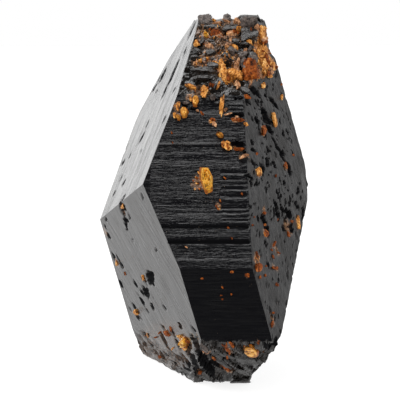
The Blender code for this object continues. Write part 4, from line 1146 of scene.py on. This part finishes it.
def crystal_materials():
    """The crystal's finishes by name, in the order of its slots."""
    return {made.name: made for made in [
        tourmaline("tourmaline_bright", 0.10, 0.20, (22, 1.1, 1), (0.12, 0.004, 0.06), face_axes(UPPER)),
        tourmaline("tourmaline_grey", 0.12, 0.24, (10, 1.0, 1), (0.05, 0.005, 0.03), face_axes(LOWER),
                   warm=0.6),
        tourmaline("tourmaline_satin", 0.30, 0.5, (1.6, 0.35, 0.5), (0.06, 0.06, 0.02), face_axes(RIGHT),
                   warm=0.3, Specular_IOR_Level=0.25),
        tourmaline("tourmaline_fluted", 0.11, 0.26, (2.4, 0.24, 0.24), (0.10, 0.035, 0.02),
                   Specular_IOR_Level=0.29),
        tourmaline("tourmaline_smooth", 0.14, 0.28, (5, 0.3, 0.22), (0.02, 0.01, 0.012),
                   veil=0.05, Specular_IOR_Level=0.22),
        tourmaline("tourmaline_broken", 0.10, 0.38, (0.5, 0.5, 0.5), (0.06, 0.03, 0.02), warm=0.8),
        # The hollows' finish: rough, with so little shine that the hollows read dark; this low shine is
        # painted shade for the recesses.
        tourmaline("tourmaline_shaded_hollow", 0.5, 0.7, (0.3, 0.3, 0.3), (0.04, 0.02, 0.01),
                   Specular_IOR_Level=0.06),
    ]}


def earthy(name, rough, stand, shine):
    """Earthy iron ore: its colours drift from dark cracks to pale dust over fractions of a millimetre."""
    material, tree, shader = new_material(name, Roughness=rough, IOR=1.5, Specular_IOR_Level=shine)
    patches = speckle(tree, grain_space(tree, (0.8, 1.2, 1.6)), 5.0, 0.6, 0.6)
    grit = speckle(tree, grain_space(tree, (0.3, 0.3, 0.5)), 4.0, 0.65)
    halved = worked(tree, "MULTIPLY", worked(tree, "ADD", patches, grit))
    tree.links.new(ramp(tree, halved, ORE_STOPS[name]), shader.inputs["Base Color"])
    bumps(tree, shader, [(patches, stand), (grit, stand)])
    return material


def golden(name, stops, gloss):
    """Golden mica: bright leaves over amber depths, with dark edges between the leaves."""
    material, tree, shader = new_material(name, IOR=1.6, Metallic=0.15, Coat_Weight=gloss,
                                          Coat_Roughness=0.12, Specular_IOR_Level=gloss)
    patches = speckle(tree, grain_space(tree, (1.0, 1.0, 0.8)), 4.0, 0.6, 0.6)
    leaves = speckle(tree, grain_space(tree, (1.4, 1.4, 0.16)), 2.0)
    edge = worked(tree, "ADD", attribute(tree, "rim"), patches)
    gold = ramp(tree, patches, stops)
    tree.links.new(mixed(tree, rescale(tree, edge, 1.2, 1.4), gold, AMBER), shader.inputs["Base Color"])
    tree.links.new(rescale(tree, leaves, 0.3, 0.7, 0.18, 0.45), shader.inputs["Roughness"])
    bumps(tree, shader, [(leaves, 0.03), (patches, 0.05)])
    return material


def grain_materials():
    """The finishes of the grains, in the order of GRAIN_SLOTS."""
    return [
        earthy("ochre", 0.55, 0.09, 0.18),
        earthy("pale_ochre", 0.65, 0.10, 0.15),
        earthy("iron_brown", 0.6, 0.07, 0.06),
        earthy("grey_rock", 0.4, 0.12, 0.4),
        golden("mica_gold", GOLD_STOPS, 0.5),
        golden("mica_leaf", LEAF_STOPS, 0.12),
        tourmaline("slab_black", 0.14, 0.34, (2.0, 0.25, 0.25), (0.07, 0.02, 0.02), warm=0.8),
    ]


def world_light():
    """Soft light from a pale studio. The black faces mirror a bright top and back and a darker front, and
    the eye sees an even white backdrop."""
    world = bpy.data.worlds.new("studio")
    bpy.context.scene.world = world
    world.use_nodes = True
    tree = world.node_tree
    direction = put(tree, "TexCoord").outputs["Generated"]
    mirrored = MIRROR_BASE
    for way, outer, inner, strength in MIRROR_LIGHTS:
        facing = put(tree, "VectorMath", {0: direction, 1: unit(np.array(way)).tolist()},
                     operation="DOT_PRODUCT").outputs["Value"]
        start, full = math.cos(math.radians(outer)), math.cos(math.radians(inner))
        mirrored = worked(tree, "ADD", mirrored, rescale(tree, facing, start, full, 0.0, strength))
    path = put(tree, "LightPath").outputs
    shine = blended(tree, path["Is Glossy Ray"], AMBIENT, mirrored)
    background = tree.nodes["Background"].inputs
    tree.links.new(blended(tree, path["Is Camera Ray"], shine, 1.0), background["Strength"])
    background["Color"].default_value = (1, 1, 1, 1)


def floor():
    """A wide pale floor with a faint mottle, which the crystal stands on."""
    mesh = bpy.data.meshes.new("floor")
    share = np.linspace(-1, 1, FLOOR_LINES)
    x, y = np.meshgrid(share * FLOOR_HALF, share * FLOOR_HALF + FLOOR_SHIFT)
    grid = np.arange(FLOOR_LINES ** 2).reshape(FLOOR_LINES, FLOOR_LINES)
    quads = np.stack([grid[:-1, :-1], grid[:-1, 1:], grid[1:, 1:], grid[1:, :-1]], -1).reshape(-1, 4)
    mesh.from_pydata(np.column_stack([x.ravel(), y.ravel(), np.full(x.size, -FLOOR_DROP)]), [], quads)
    material, tree, shader = new_material("floor_paper", Roughness=0.9, Specular_IOR_Level=0.1,
                                          Emission_Color=(1, 1, 1, 1), Emission_Strength=FLOOR_GLOW)
    mottle = speckle(tree, grain_space(tree, (30, 30, 30)))
    tree.links.new(ramp(tree, mottle, PAPER_STOPS), shader.inputs["Base Color"])
    mesh.materials.append(material)
    sheet = bpy.data.objects.new("floor", mesh)
    bpy.context.scene.collection.objects.link(sheet)
    sheet.visible_glossy = False


def placed(name, data, axes, place):
    """An object of the studio, with its axes and its place."""
    held = bpy.data.objects.new(name, data)
    rows = [[*row, at] for row, at in zip(np.column_stack(axes), place)]
    held.matrix_world = Matrix([*rows, [0, 0, 0, 1]])
    bpy.context.scene.collection.objects.link(held)
    return held


def key_light():
    """A square soft light over the crystal's left, facing its middle."""
    lamp = bpy.data.lights.new("key", "AREA")
    lamp.shape, lamp.size, lamp.energy = "SQUARE", KEY_SIZE, KEY_POWER
    back = unit(np.array(KEY_WAY))
    side = unit(np.cross([0, 0, 1.0], back))
    placed("key", lamp, [side, np.cross(back, side), back], CORE * MM + back * KEY_DISTANCE)


def camera():
    """The camera: a long lens a little right of the front and a little above."""
    data = bpy.data.cameras.new("camera")
    data.lens, data.sensor_width, data.sensor_fit = LENS, SENSOR, "HORIZONTAL"
    data.clip_start, data.clip_end = 0.01, 50
    bpy.context.scene.camera = placed("camera", data, camera_axes(), CAMERA_PLACE * MM)


def on_faces(groups):
    """The grains of a piece from its groups: mineral, face, stroke and thickness of each."""
    return [(kind, face, *mark) for face, grains in groups for kind, *mark in grains]


def crystal_piece(plane_points, moved, triangles, face_numbers, hollow):
    """The crystal, with the finish of each of its triangles: rough with little shine in the hollows,
    painted shade that darkens them, and smooth instead of fluted at the left corner."""
    finishes = crystal_materials()
    slot = {name: number for number, name in enumerate(finishes)}
    slots = np.array([slot[FACE_FINISH[face]] for face in FACES])[face_numbers]
    at_corner = (face_numbers == NUMBER[FLUTED]) & (plane_points[triangles, 0].mean(1) < CORNER_FACET)
    slots[at_corner] = slot["tourmaline_smooth"]
    # Triangles in deep hollows and cuts take the dull finish whose low shine is painted shade.
    slots[hollow[triangles].mean(1) > SHADED_HOLLOW_FROM] = slot["tourmaline_shaded_hollow"]
    crystal = new_piece("crystal_surface", moved, triangles, list(finishes.values()), slots, CRYSTAL_CREASE)
    add_attribute(crystal, "coat", coat_of(plane_points))
    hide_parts(CRYSTAL)


def build():
    """Makes the crystal and everything on it."""
    shape = crystal_shape()
    crystal_piece(*shape)
    ground, minerals = shape[:2], grain_materials()
    for seed, (name, groups) in enumerate(GRAINS.items(), GRAIN_SEED):
        grains = on_faces(groups)
        piece = grain_piece(name + "_grain", grains, ground, minerals, seed)
        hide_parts(name)
    for seed, (name, groups) in enumerate(CRUMBS.items(), CRUMB_SEED):
        grains = on_faces(groups)
        grain_piece(name, grains, ground, minerals, seed)
    for number, (name, *stretch) in enumerate(LITTER):
        grains = litter(np.random.default_rng(SPOT_SEED + number), *stretch)
        grain_piece(name, grains, ground, minerals, LITTER_SEED + number)


bpy.context.scene.view_settings.view_transform = "Standard"
world_light()
floor()
key_light()
camera()
build()
